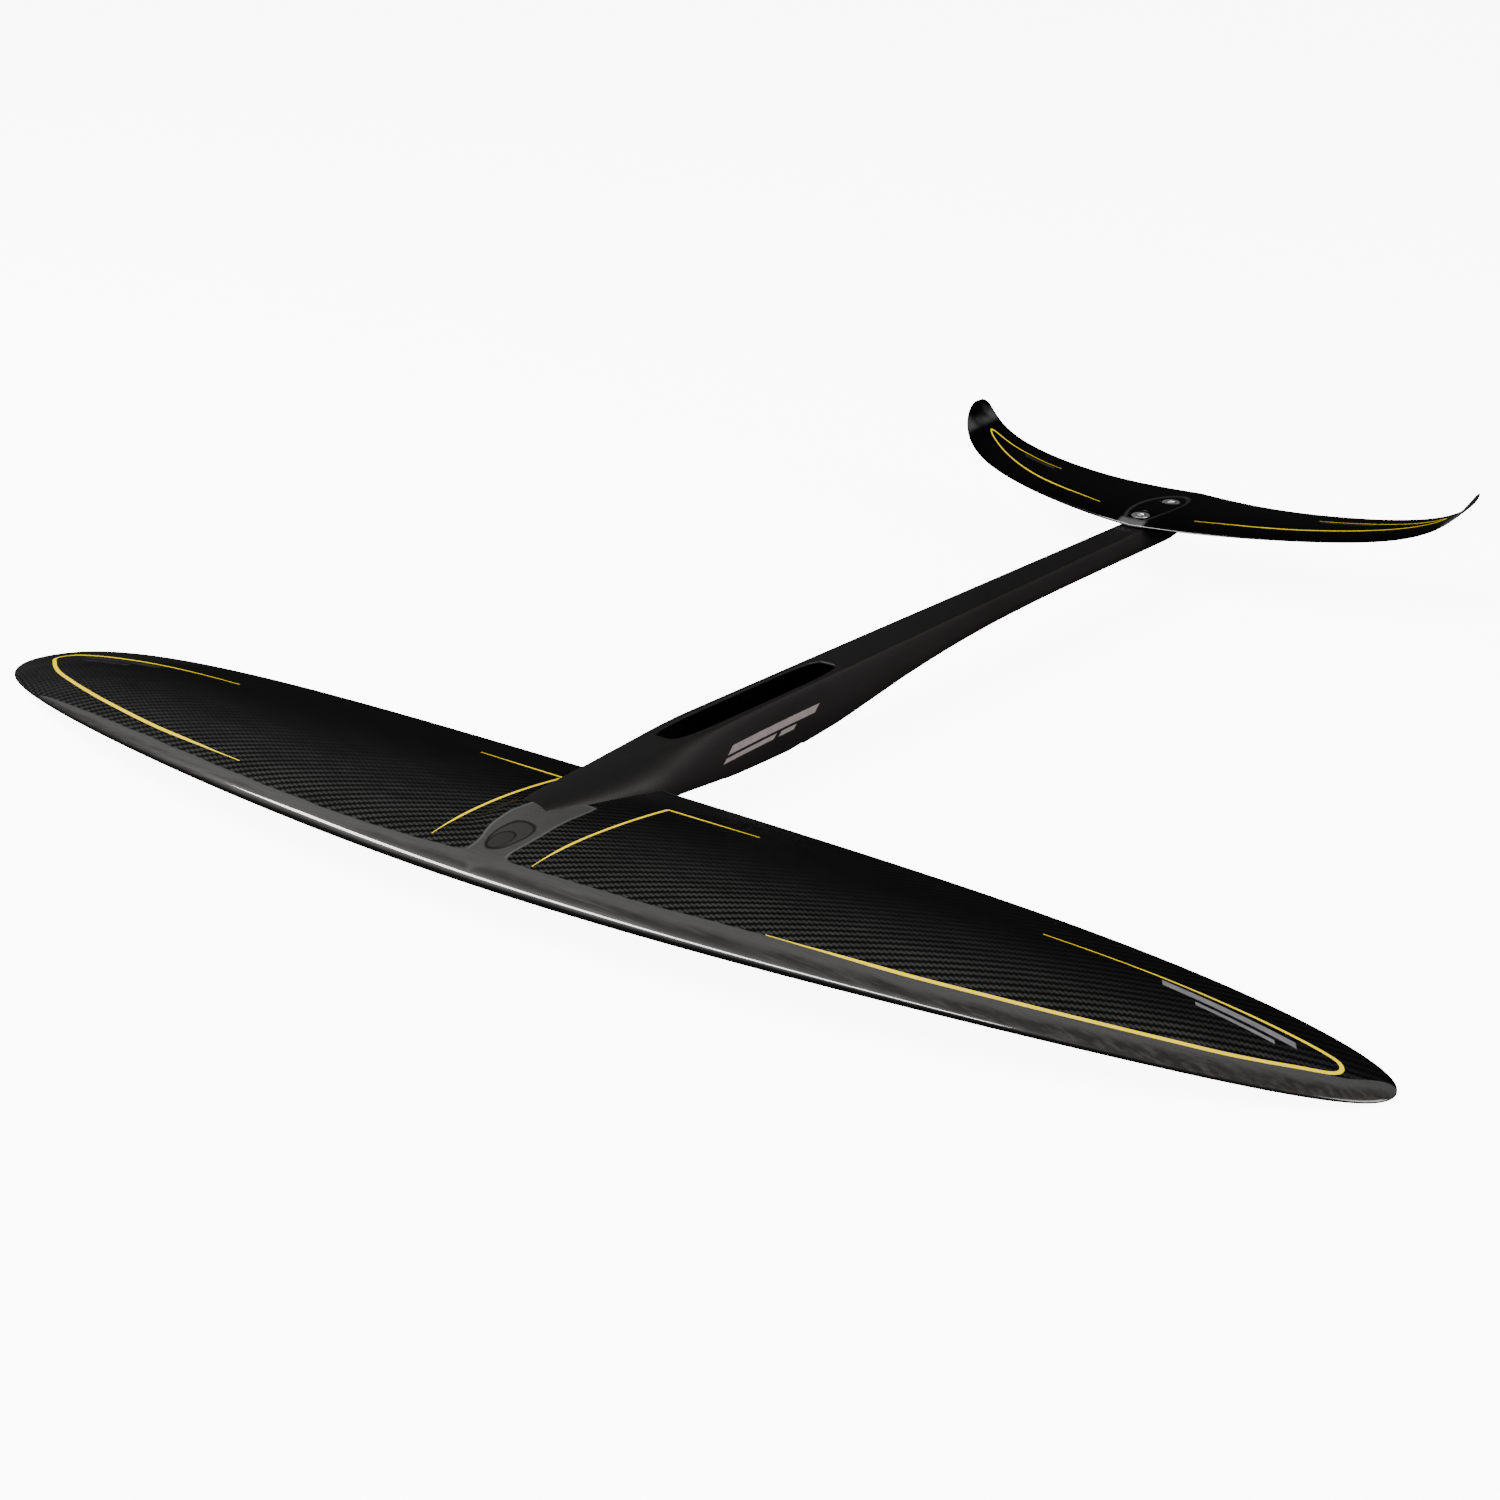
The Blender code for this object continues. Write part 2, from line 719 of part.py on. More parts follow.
def seat_place(distance, lift, flipped):
    """Place on the seat plane's normal; flipped turns z to point down."""
    normal = Vector((0.0, SEAT_SLOPE, 1.0)).normalized()
    origin = Vector((0.0, NOSE_Y + distance, seat_height(distance))) + normal * lift
    tilt = Matrix.Rotation(-math.atan(SEAT_SLOPE), 4, "X")
    if flipped:
        tilt = tilt @ Matrix.Rotation(math.pi, 4, "X")
    return Matrix.Translation(origin) @ tilt


def level_place(y, z, flipped=False):
    """Upright place on the centreline; flipped turns z to point down."""
    turn = Matrix.Rotation(math.pi if flipped else 0.0, 4, "X")
    return Matrix.Translation((0.0, y, z)) @ turn


def build_wing_fasteners(fuselage, keel):
    names = ("front", "middle", "rear")
    for name, distance in zip(names, WING_SCREWS):
        head = seat_place(distance, WING_HEAD_RECESS - KEEL_DEPTH, flipped=True)
        mouth = seat_place(distance, 0.0, flipped=True)
        build_screw("wing_screw_" + name, M8, WING_SCREW_LENGTH, head)
        build_cup("wing_screw_cup_" + name, M8, head)
        cut(keel, screw_hole("wing_hole_" + name, M8, CUTTER_REACH, head))
        build_insert("wing_insert_" + name, M8, WING_INSERT_LENGTH, mouth)
        cut(fuselage, insert_hole("wing_insert_hole_" + name, M8, WING_INSERT_LENGTH, mouth))


def build_mast_fasteners(fuselage):
    for name, y in (("front", -0.5 * MAST_SCREW_SPACING), ("rear", 0.5 * MAST_SCREW_SPACING)):
        belly = TOP_Z + along(BELLY_LINE, y - NOSE_Y)
        head = level_place(y, belly + MAST_HEAD_RECESS, flipped=True)
        build_screw("mast_screw_" + name, M8, MAST_SCREW_LENGTH, head)
        build_cup("mast_screw_cup_" + name, M8, head)
        cut(fuselage, screw_hole("mast_hole_" + name, M8, CUTTER_REACH, head))


def stab_surface(distance):
    """Height of the stabiliser's upper surface on the centreline."""
    chord = stab_chord(0.0)
    leading = STAB_REFERENCE[0] - STAB_AHEAD * chord
    u = (distance - leading) / chord
    return TOP_Z + STAB_HEIGHT + half_thickness(u, STAB_UPPER) * chord


def build_stab_fasteners(fuselage, stabiliser):
    for name, distance in zip(("front", "rear"), STAB_SCREWS):
        y = NOSE_Y + distance
        head = level_place(y, stab_surface(distance) - STAB_HEAD_RECESS)
        mouth = level_place(y, TOP_Z)
        build_screw("stabiliser_screw_" + name, M6, STAB_SCREW_LENGTH, head)
        build_cup("stabiliser_screw_cup_" + name, M6, head)
        cut(stabiliser, screw_hole("stabiliser_hole_" + name, M6, CUTTER_REACH, head))
        build_insert("stabiliser_insert_" + name, M6, STAB_INSERT_LENGTH, mouth)
        cut(fuselage, insert_hole("stab_insert_hole_" + name, M6, STAB_INSERT_LENGTH, mouth))


def main():
    clear_scene()
    fuselage = build_fuselage()
    build_skins()
    build_leading_edge()
    build_core("left", -1.0)
    build_core("right", 1.0)
    keel = build_keel_block()
    stabiliser = build_stabiliser()
    build_wing_fasteners(fuselage, keel)
    build_mast_fasteners(fuselage)
    build_stab_fasteners(fuselage, stabiliser)


main()
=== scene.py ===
"""Looks of the hydrofoil set: wing, fuselage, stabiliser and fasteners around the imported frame.

Frame: the origin is the middle of the mast socket's floor. +X runs across the span,
+Y runs aft along the fuselage and +Z points up towards the mast. Units are metres.
"""
from math import atan, copysign, cos, exp, hypot, pi, radians, sin, sqrt, tau

import bmesh
import bpy
from mathutils import Matrix, Vector


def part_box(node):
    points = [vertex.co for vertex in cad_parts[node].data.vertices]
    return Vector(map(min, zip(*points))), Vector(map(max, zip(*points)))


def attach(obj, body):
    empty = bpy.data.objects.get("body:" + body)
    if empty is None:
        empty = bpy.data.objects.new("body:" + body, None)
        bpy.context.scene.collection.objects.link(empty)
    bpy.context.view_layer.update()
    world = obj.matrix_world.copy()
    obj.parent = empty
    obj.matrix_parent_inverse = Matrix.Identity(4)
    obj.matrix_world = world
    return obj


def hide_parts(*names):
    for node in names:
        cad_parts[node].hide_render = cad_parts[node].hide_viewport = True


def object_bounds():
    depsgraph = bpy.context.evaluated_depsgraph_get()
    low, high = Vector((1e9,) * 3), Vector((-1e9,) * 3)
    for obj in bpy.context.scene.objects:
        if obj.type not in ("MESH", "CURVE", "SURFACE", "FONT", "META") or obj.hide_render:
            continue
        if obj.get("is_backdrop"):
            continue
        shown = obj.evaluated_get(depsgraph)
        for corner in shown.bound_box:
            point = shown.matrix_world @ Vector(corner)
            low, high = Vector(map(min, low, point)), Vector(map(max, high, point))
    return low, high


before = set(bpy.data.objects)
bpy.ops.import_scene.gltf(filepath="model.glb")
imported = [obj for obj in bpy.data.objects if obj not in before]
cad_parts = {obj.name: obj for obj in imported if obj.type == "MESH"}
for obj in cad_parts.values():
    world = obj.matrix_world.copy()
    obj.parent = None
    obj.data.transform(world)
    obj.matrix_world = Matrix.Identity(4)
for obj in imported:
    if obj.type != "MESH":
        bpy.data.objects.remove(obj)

CAD_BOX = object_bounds()

# Clearance between pieces that touch.
GAP = 0.0003
SEAM = 0.00008

# Meshing.
MERGE = 1e-7
SHARP = 30.0
CURVE_STEPS = 24

# Fuselage. Distances along it are measured aft from the nose.
FUSELAGE_LOW, FUSELAGE_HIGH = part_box("fuselage")
NOSE_Y = FUSELAGE_LOW.y
TOP_Z = FUSELAGE_HIGH.z
FUSELAGE_LENGTH = FUSELAGE_HIGH.y - FUSELAGE_LOW.y
STEP_AT = 0.0788
FUSELAGE_STATIONS = 150
STATION_CROWDING = 0.06
EDGE_POINTS = 12
SIDE_POINTS = 14

# Outlines of the fuselage as (distance from nose, value): half-widths, and heights under TOP_Z.
FLAT_TOP_HALF_WIDTH = (
    (0.0, 0.0004), (0.050, 0.0008), (0.080, 0.0035), (0.100, 0.0082), (0.120, 0.0120), (0.140, 0.0133),
    (0.200, 0.0130), (0.640, 0.0075))
WIDEST_HALF_WIDTH = (
    (0.0, 0.0105), (0.030, 0.0168), (0.060, 0.0207), (0.079, 0.0222), (0.100, 0.0208), (0.140, 0.0174),
    (0.190, 0.0156), (0.260, 0.0148), (0.360, 0.0130), (0.480, 0.0113), (0.640, 0.0094))
TOP_LINE = ((0.0, -0.0030), (0.050, -0.0018), (0.100, 0.0), (0.640, 0.0))
WIDEST_LINE = (
    (0.079, -0.0173), (0.120, -0.0180), (0.200, -0.0177), (0.260, -0.0158), (0.360, -0.0115),
    (0.420, -0.0095), (0.500, -0.0090), (0.640, -0.0085))
BELLY_LINE = (
    (0.0, -0.0245), (0.079, -0.0300), (0.105, -0.0326), (0.130, -0.0356), (0.160, -0.0386),
    (0.206, -0.0397), (0.243, -0.0375), (0.281, -0.0323), (0.321, -0.0264), (0.382, -0.0208),
    (0.425, -0.0189), (0.480, -0.0180), (0.613, -0.0186), (0.640, -0.0120))

# Seat of the front wing, and the keel block under it.
SEAT_DROP = 0.0082
SEAT_SLOPE = 0.1154
KEEL_DEPTH = 0.0135
KEEL_FULLNESS = 3.4
KEEL_POINTS = 40
KEEL_STEPS = 60
NOTCH_STEPS = 48

# Mast socket, with a rounded rim.
SOCKET_LENGTH = 0.1456
SOCKET_HALF_WIDTH = 0.0102
SOCKET_FULLNESS = 4.5
SOCKET_POINTS = 128
SOCKET_RIM = 0.0007
RIM_STEPS = 6
MAST_SCREW_SPACING = 0.070

# Front wing planform and dihedral, with s as the fraction of the half span.
TIP_END = 0.9990
HALF_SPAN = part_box("front_wing_leading_edge")[1].x / TIP_END
ROUND_TIP_END = 0.99996
MARKED_SPAN = 0.9995
ROOT_CHORD = 0.1453
CHORD_POWERS = (1.80, 1.0 / 2.16)
CHORD_AHEAD = 0.4832
WING_REFERENCE = (0.0021, 0.0112, 0.0391)
WING_HEIGHT = (-0.0168, 0.0102, -0.0364)
WING_THICKNESS = 0.115
WING_CAMBER = 0.015
WING_EDGE_HALF = 0.00045
EDGE_LIMIT = 0.1
SKIN = 0.0012
BAND_FRACTION = 0.13
BAND_GROWTH = 0.65
BAND_GROWS_FROM = 0.86
SKIN_END = 0.94
CHORD_POINTS = 44
NOSE_POINTS = 20
ROOT_STEP = 0.0009
ROOT_STEPS = 30
OUTER_STATIONS = 95
TIP_STATIONS = 34

# Moulded fairing that leads the wing's upper skin up to the fuselage's nose.
FAIRING_LENGTH = 0.045
FAIRING_TAIL = 0.034
FAIRING_HALF_WIDTH = 0.0108
FAIRING_RISE = 0.0046
FAIRING_SHAPE = (0.9, 3.2)

# Stabiliser, with t as the fraction of the half-span's arc.
STAB_ARC = 0.1989
STAB_CURL = (0.0611, 1.6547, 10.01)
STAB_LEAN_LIMIT = 1.433
STAB_LEAN_SHARPNESS = 4.0
STAB_TWIST = (0.1155, 3.62)
STAB_TWIST_AXIS = 0.3
STAB_CHORD = 0.0863
STAB_ROOT_GROWTH = 0.0043
STAB_ROOT_REACH = 0.208
STAB_TAPER = 0.5318
STAB_TIP_POWERS = (9.27, 0.409)
STAB_AHEAD = 0.4449
STAB_REFERENCE = (0.6130, 0.0702, -0.0052)
STAB_HEIGHT = 0.0015
STAB_UPPER = 0.110
STAB_THINNING = 0.5
STAB_LOWER = 0.0130
STAB_LOWER_POWER = 0.4
STAB_EDGE_HALF = 0.0003
STAB_TIP_END = 0.9985
STAB_STATIONS = 90
STAB_POINTS = 44
STAB_SPINE_STEPS = 60
STAB_ROOT_STEP = 0.0008
STAB_ROOT_STEPS = 24
STAB_SCREWS = (0.5869, 0.6249)
PAD_CENTRE = 0.6075
PAD_SIZE = (0.0125, 0.0340)
PAD_DEPTH = 0.00035

# Fasteners: countersunk machine screws in cup washers, with sleeve inserts for their threads.
WING_SCREWS = (0.018, 0.043, 0.068)
M8 = {"shank": 0.0040, "head": 0.0079, "drive": 0.0029, "insert": 0.0056, "pitch": 0.00125}
M6 = {"shank": 0.0030, "head": 0.0059, "drive": 0.0023, "insert": 0.0044, "pitch": 0.0010}
WING_SCREW_LENGTH = 0.0160
MAST_SCREW_LENGTH = 0.0250
STAB_SCREW_LENGTH = 0.0128
WING_INSERT_LENGTH = 0.0048
STAB_INSERT_LENGTH = 0.0090
WING_HEAD_RECESS = 0.0018
MAST_HEAD_RECESS = 0.0034
STAB_HEAD_RECESS = 0.0006
HEAD_RIM = 0.0005
RIM_ROUND = 0.00018
DRIVE_DEPTH = 0.0026
CUP_WALL = 0.0008
THREAD_ROOM = 0.0003
THREAD_DEPTH = 0.45
CHAMFER = 0.0002
CUP_ROUND = 0.0001
INSERT_RIDGES = 5
ROUND_SEGMENTS = 72
CUTTER_REACH = 0.03
HEX_SIDES = 6

# Painted lines and marks: closed strips laid on the surfaces.
PAINT_LIFT = 0.00003
PAINT_THICKNESS = 0.00006
LOOP_SHIFT = 0.0075
CHEVRON_SHIFT = 0.0125
LOOP_WIDTH = 0.0022
CHEVRON_WIDTH = 0.0016
STAB_LINE_WIDTH = 0.0018
LINE_END_WIDTH = 0.0004
STRIP_STEPS = 150

# Lines on the wing as (across, distance aft of the nose), right side, and on the stabiliser as (t, u).
WING_LOOP = (
    (0.174, -0.0417), (0.200, -0.0392), (0.250, -0.0325), (0.300, -0.0207), (0.340, -0.0075),
    (0.375, 0.0075), (0.395, 0.0190), (0.411, 0.0310), (0.4205, 0.0390), (0.4225, 0.0450),
    (0.4185, 0.0500), (0.4090, 0.0512), (0.390, 0.0510), (0.360, 0.0500), (0.330, 0.0489),
    (0.268, 0.0457))
CHEVRON_LEG = ((0.0331, -0.0495), (0.0338, -0.0200), (0.0347, 0.0100), (0.0352, 0.0509))
CHEVRON_REAR = ((0.0352, 0.0509), (0.0640, 0.0510), (0.0935, 0.0512))
# Wing lines as (name, points, shift across, steps, width, share that widens, share that narrows).
WING_LINES = (
    ("loop", WING_LOOP, LOOP_SHIFT, STRIP_STEPS, LOOP_WIDTH, 0.15, 0.42),
    ("chevron_leg", CHEVRON_LEG, CHEVRON_SHIFT, 60, CHEVRON_WIDTH, 0.25, 0.0),
    ("chevron_rear", CHEVRON_REAR, CHEVRON_SHIFT, 50, 0.75 * CHEVRON_WIDTH, 0.0, 0.8))
STAB_LOOP = (
    (0.178, 0.186), (0.270, 0.214), (0.380, 0.232), (0.497, 0.262), (0.617, 0.327), (0.730, 0.420),
    (0.800, 0.490), (0.848, 0.540), (0.872, 0.600), (0.852, 0.672), (0.800, 0.700), (0.740, 0.702),
    (0.650, 0.700), (0.570, 0.688), (0.490, 0.685))
# Bars as (start, low edge, length, height): in metres, and on the stabiliser in t and u.
SIDE_BARS = (
    (0.1375, 0.0085, 0.080, 0.0042), (0.1335, 0.0044, 0.046, 0.0026), (0.1840, 0.0044, 0.014, 0.0026))
TIP_BARS = ((0.334, 0.0420, 0.068, 0.0044), (0.354, 0.0368, 0.040, 0.0026))
STAB_BARS = ((0.50 * STAB_ARC, 0.600 * STAB_CHORD, 0.155 * STAB_ARC, 0.060 * STAB_CHORD),)
SIDE_SLANT = 1.1
TIP_SLANT = -0.7
STAB_SLANT = 0.8
BAR_STEPS = 24
BAR_ROWS = 6
SIDES = (("right", 1.0), ("left", -1.0))

# Unidirectional leading edge band: (signed span fraction, chord fraction where the twill begins).
BAND_EDGE = (
    (-1.0, -0.03), (-0.83, -0.03), (-0.78, 0.020), (-0.70, 0.050), (-0.60, 0.068), (-0.45, 0.073),
    (-0.25, 0.069), (-0.08, 0.080), (0.0, 0.098), (0.06, 0.111), (0.25, 0.114), (0.35, 0.124),
    (0.44, 0.130), (0.554, 0.120), (0.657, 0.132), (0.752, 0.164), (0.840, 0.212), (0.907, 0.284),
    (0.950, 0.360), (0.969, 0.485), (0.980, 0.690), (0.993, 0.880), (1.0, 1.0))
# Grey patch on the nose fairing, partly real grey fibre and partly painted light: it covers the lit
# right flank and stops at the crest, leaving the shaded left flank dark. Rows are (distance aft of the
# nose, right edge, left edge).
PATCH_EDGE = (
    (-0.0700, 0.0290, 0.0060), (-0.0480, 0.0288, 0.0045), (-0.0400, 0.0286, 0.0030),
    (-0.0332, 0.0288, 0.0005), (-0.0250, 0.0286, -0.0010), (-0.0150, 0.0272, -0.0010),
    (-0.0060, 0.0262, 0.0010), (0.0040, 0.0256, 0.0020), (0.0130, 0.0252, 0.0030),
    (0.0214, 0.0242, 0.0030), (0.0250, 0.0232, 0.0030))
PATCH_OVALS = (((0.0148, -0.0307), (0.0087, 0.0165)), ((0.0140, -0.0370), (0.0055, 0.0095)))

# Weave.
TOW = 0.0018
CLOTH_TURN = 0.21
TOW_ROUNDNESS = 0.6
CLOTH_COAT = 0.6
PLY = 0.0006

# Tones on the stabiliser: where the grey tip begins, and the tongue ahead of the front screw.
STAB_TIP_TONE = (0.1750, 0.1800)
TONGUE_ENDS = (0.0095, 0.0065)
TONGUE_SIDES = (0.008, 0.0105)

# Colours.
BAND_DARK = (0.0135, 0.0125, 0.0118)
BAND_STREAK = (0.040, 0.039, 0.037)
BAND_BROWN = (0.020, 0.0178, 0.0155)
BAND_GREY = (0.038, 0.037, 0.0368)
BAND_GREY_LIGHT = (0.050, 0.049, 0.0487)
# painted shade for the band where it faces down
BAND_UNDERSIDE_PAINTED_SHADE = (0.0050, 0.0046, 0.0048)
TWILL_DARK = (0.0009, 0.0009, 0.0009)
# painted sheen of the weave's lit tows
TWILL_SHEEN = (0.0300, 0.0298, 0.0294)
EDGE_LIGHT = (0.06, 0.06, 0.062)
PATCH_GREY = (0.034, 0.033, 0.0325)
PATCH_GREY_LIGHT = (0.046, 0.045, 0.0445)
PATCH_DARK = (0.018, 0.0168, 0.0155)
PATCH_RING = (0.0045, 0.0044, 0.0043)
# painted highlight along the patch's edge
PATCH_PAINTED_HIGHLIGHT = (0.075, 0.074, 0.073)
ANODISED_DARK = (0.0105, 0.0090, 0.0087)
ANODISED_LIGHT = (0.0150, 0.0130, 0.0126)
ANODISED_LINE = (0.020, 0.0175, 0.017)
# painted shade on the fuselage's upward-facing surfaces
ANODISED_TOP_PAINTED_SHADE = (0.0030, 0.0029, 0.0029)
# painted highlight along the fuselage's rounded edges
ANODISED_EDGE_HIGHLIGHT = (0.040, 0.038, 0.038)
# painted shade inside the mast socket
SOCKET_PAINTED_SHADE = (0.0004, 0.0004, 0.0004)
GLOSS_BLACK = (0.0006, 0.0006, 0.0006)
GLOSS_STREAK = (0.0012, 0.0012, 0.0012)
# grey fibre of the stabiliser's tips and tongue, and a painted highlight round the pad
GLOSS_GREY_AND_HIGHLIGHT = (0.130, 0.128, 0.128)
FOAM_DARK = (0.42, 0.35, 0.22)
FOAM_LIGHT = (0.62, 0.55, 0.38)
LAMINATE_DARK = (0.006, 0.006, 0.0065)
LAMINATE_LIGHT = (0.022, 0.022, 0.024)
LAMINATE_PLY = (0.035, 0.035, 0.036)
# Metals as (name, darker tone, lighter tone, roughness), and paints as (name, darker, lighter).
STEELS = (
    ("turned_steel", (0.62, 0.62, 0.63), (0.76, 0.76, 0.77), 0.42),
    ("blackened_steel", (0.012, 0.012, 0.012), (0.020, 0.020, 0.020), 0.40),
    ("insert_steel_grain", (0.34, 0.33, 0.31), (0.48, 0.47, 0.45), 0.34))
PAINTS = (
    ("line_yellow", (0.80, 0.58, 0.002), (0.86, 0.64, 0.003)),
    ("mark_pale", (0.26, 0.22, 0.215), (0.32, 0.275, 0.27)),
    ("mark_dim", (0.105, 0.105, 0.110), (0.135, 0.135, 0.140)),
    ("mark_dark", (0.014, 0.013, 0.0125), (0.022, 0.021, 0.020)))

# Camera and studio.
CAMERA_PLACE = (0.94134, -1.20280, 0.59716)
CAMERA_TARGET = (-0.0546, 0.0715, -0.0405)
CAMERA_LENS = 72.0
CAMERA_SENSOR = 36.0
FLOOR_SIZE = 60.0
FLOOR_DROP = 0.0002
FLOOR_GLOW = 9.0
FLOOR_MIRRORED = 0.03
FLOOR_TONE = (0.14, 0.14, 0.14)
FLOOR_WHITE = (0.9, 0.9, 0.9)
BACKDROP = 11.0
ROOM = 0.015
# Lights as (name, place, target, width, height, power).
LIGHTS = (
    ("front_bar", (-0.95, -1.35, 1.95), (0.0, -0.1, 0.0), 3.2, 0.36, 170.0),
    ("side_panel", (2.6, 0.3, 1.2), (0.0, 0.05, 0.0), 2.2, 1.4, 85.0))


# Numbers


def smooth(value):
    value = min(max(value, 0.0), 1.0)
    return value * value * (3.0 - 2.0 * value)


def slope_at(line, index):
    """Slope of a smooth curve at one of its points, flat where the curve turns."""
    slopes = [(b[1] - a[1]) / (b[0] - a[0]) for a, b in zip(line, line[1:])]
    if index in (0, len(slopes)):
        return slopes[0 if index == 0 else -1]
    before, after = slopes[index - 1], slopes[index]
    return 2.0 * before * after / (before + after) if before * after > 0.0 else 0.0


def along(line, distance):
    """Read a smooth curve through (distance, value) points."""
    if distance <= line[0][0]:
        return line[0][1]
    if distance >= line[-1][0]:
        return line[-1][1]
    index = next(i for i in range(len(line) - 1) if distance <= line[i + 1][0])
    start, end = line[index], line[index + 1]
    width = end[0] - start[0]
    part = (distance - start[0]) / width
    rise = part * part * (3.0 - 2.0 * part)
    leave = part * (1.0 - part) ** 2
    arrive = part * part * (part - 1.0)
    value = start[1] + (end[1] - start[1]) * rise
    return value + width * (slope_at(line, index) * leave + slope_at(line, index + 1) * arrive)


def through(points, steps):
    """Evenly spaced points on a smooth curve through a few 2D points."""
    pts = [Vector(p) for p in points]
    pts = [2 * pts[0] - pts[1]] + pts + [2 * pts[-1] - pts[-2]]
    fine = []
    for a, b, c, d in zip(pts, pts[1:], pts[2:], pts[3:]):
        for k in range(CURVE_STEPS):
            t = k / CURVE_STEPS
            fine.append(0.5 * ((2 * b) + (c - a) * t + (2 * a - 5 * b + 4 * c - d) * t * t
                               + (3 * b - a - 3 * c + d) * t ** 3))
    fine.append(pts[-2])
    lengths = [0.0]
    for a, b in zip(fine, fine[1:]):
        lengths.append(lengths[-1] + (b - a).length)
    even = []
    index = 0
    for k in range(steps + 1):
        target = lengths[-1] * k / steps
        while index < len(fine) - 2 and lengths[index + 1] < target:
            index += 1
        span = lengths[index + 1] - lengths[index]
        part = (target - lengths[index]) / span if span else 0.0
        even.append(fine[index].lerp(fine[index + 1], part))
    return even


def eased(start, end, count):
    """Places after start, closer together towards end, which is the last of them."""
    return [start + (end - start) * sin(0.5 * pi * k / count) for k in range(1, count + 1)]


def quarter(count):
    return [0.5 * pi * k / count for k in range(count + 1)]


def rounded(angle, fullness):
    """Point of a unit rounded rectangle at an angle."""
    parts = (cos(angle), sin(angle))
    return [copysign(abs(part) ** (2.0 / fullness), part) for part in parts]


# Mesh building


def add_object(name, data):
    made = bpy.data.objects.new(name, data)
    bpy.context.scene.collection.objects.link(made)
    return made


def finish_mesh(name, bm, sharp_degrees):
    bmesh.ops.remove_doubles(bm, verts=bm.verts, dist=MERGE)
    bmesh.ops.recalc_face_normals(bm, faces=bm.faces)
    mesh = bpy.data.meshes.new(name)
    bm.to_mesh(mesh)
    bm.free()
    mesh.shade_smooth()
    mesh.set_sharp_from_angle(angle=radians(sharp_degrees))
    return add_object(name, mesh)


def loft(name, rings, sharp_degrees=35.0):
    """Skin a row of closed rings, with a flat cap at each end."""
    bm = bmesh.new()
    rows = [[bm.verts.new(point) for point in ring] for ring in rings]
    for row, following in zip(rows, rows[1:]):
        for k in range(len(row)):
            bm.faces.new((row[k - 1], row[k], following[k], following[k - 1]))
    bm.faces.new(rows[0])
    bm.faces.new(rows[-1])
    return finish_mesh(name, bm, sharp_degrees)


def turned(name, profile, place, closed=False, segments=ROUND_SEGMENTS):
    """Turn a profile of (radius, height) points about the z axis of a place."""
    bm = bmesh.new()
    points = [bm.verts.new((radius, 0.0, height)) for radius, height in profile]
    pairs = list(zip(points, points[1:]))
    if closed:
        pairs.append((points[-1], points[0]))
    edges = [bm.edges.new(pair) for pair in pairs]
    bmesh.ops.spin(bm, geom=points + edges, cent=(0, 0, 0), axis=(0, 0, 1),
                   angle=tau, steps=segments, use_merge=True)
    bmesh.ops.transform(bm, matrix=place, verts=bm.verts)
    return finish_mesh(name, bm, SHARP)


def cut(target, *cutters):
    for cutter in cutters:
        modifier = target.modifiers.new("cut", "BOOLEAN")
        modifier.operation = "DIFFERENCE"
        modifier.solver = "EXACT"
        modifier.object = cutter
    graph = bpy.context.evaluated_depsgraph_get()
    result = bpy.data.meshes.new_from_object(target.evaluated_get(graph))
    target.modifiers.clear()
    target.data = result
    result.materials.clear()
    result.shade_smooth()
    result.set_sharp_from_angle(angle=radians(SHARP))
    for cutter in cutters:
        bpy.data.objects.remove(cutter)
    return target


# Wing surfaces


def wing_chord(s):
    body, tip = CHORD_POWERS
    return ROOT_CHORD * (1.0 - abs(s) ** body) ** tip


def wing_leading_y(s):
    base, second, fourth = WING_REFERENCE
    reference = NOSE_Y + base + second * s ** 2 + fourth * s ** 4
    return reference - CHORD_AHEAD * wing_chord(s)


def wing_height(s):
    base, second, fourth = WING_HEIGHT
    return TOP_Z + base + second * s ** 2 + fourth * s ** 4


def half_thickness(u, thickness):
    return 5.0 * thickness * (0.2969 * sqrt(u) - 0.1260 * u - 0.3516 * u ** 2
                              + 0.2843 * u ** 3 - 0.1015 * u ** 4)


def wing_camber_point(s, u):
    chord = wing_chord(s)
    y = wing_leading_y(s) + u * chord
    z = wing_height(s) + 4.0 * WING_CAMBER * u * (1.0 - u) * chord
    return y, z


def wing_half(s, u):
    chord = wing_chord(s)
    edge = min(WING_EDGE_HALF, EDGE_LIMIT * chord)
    return half_thickness(u, WING_THICKNESS) * chord + edge * u


def fairing(x, y):
    """Height that the nose fairing adds to the upper skin: a ridge that fades forward and aft."""
    ahead = NOSE_Y - y
    if ahead >= 0.0:
        fade = smooth(1.0 - ahead / FAIRING_LENGTH)
    else:
        fade = smooth(1.0 + ahead / FAIRING_TAIL)
    steepness, power = FAIRING_SHAPE
    across = abs(x) / FAIRING_HALF_WIDTH
    return FAIRING_RISE * fade * exp(-steepness * across ** power)


def wing_upper(s, u):
    y, middle = wing_camber_point(s, u)
    return middle + wing_half(s, u) + fairing(s * HALF_SPAN, y)


def wing_lower(s, u):
    _, middle = wing_camber_point(s, u)
    return middle - wing_half(s, u)


def band_fraction(s):
    if abs(s) > SKIN_END:
        return 1.0
    growth = smooth((abs(s) - BAND_GROWS_FROM) / (SKIN_END - BAND_GROWS_FROM))
    return BAND_FRACTION + BAND_GROWTH * growth


def span_place(s):
    """Distance across for a span fraction; the rounded tip ends where the frame's tip does."""
    if abs(s) <= SKIN_END:
        return s * HALF_SPAN
    squeeze = (TIP_END - SKIN_END) / (ROUND_TIP_END - SKIN_END)
    return copysign(SKIN_END + (abs(s) - SKIN_END) * squeeze, s) * HALF_SPAN


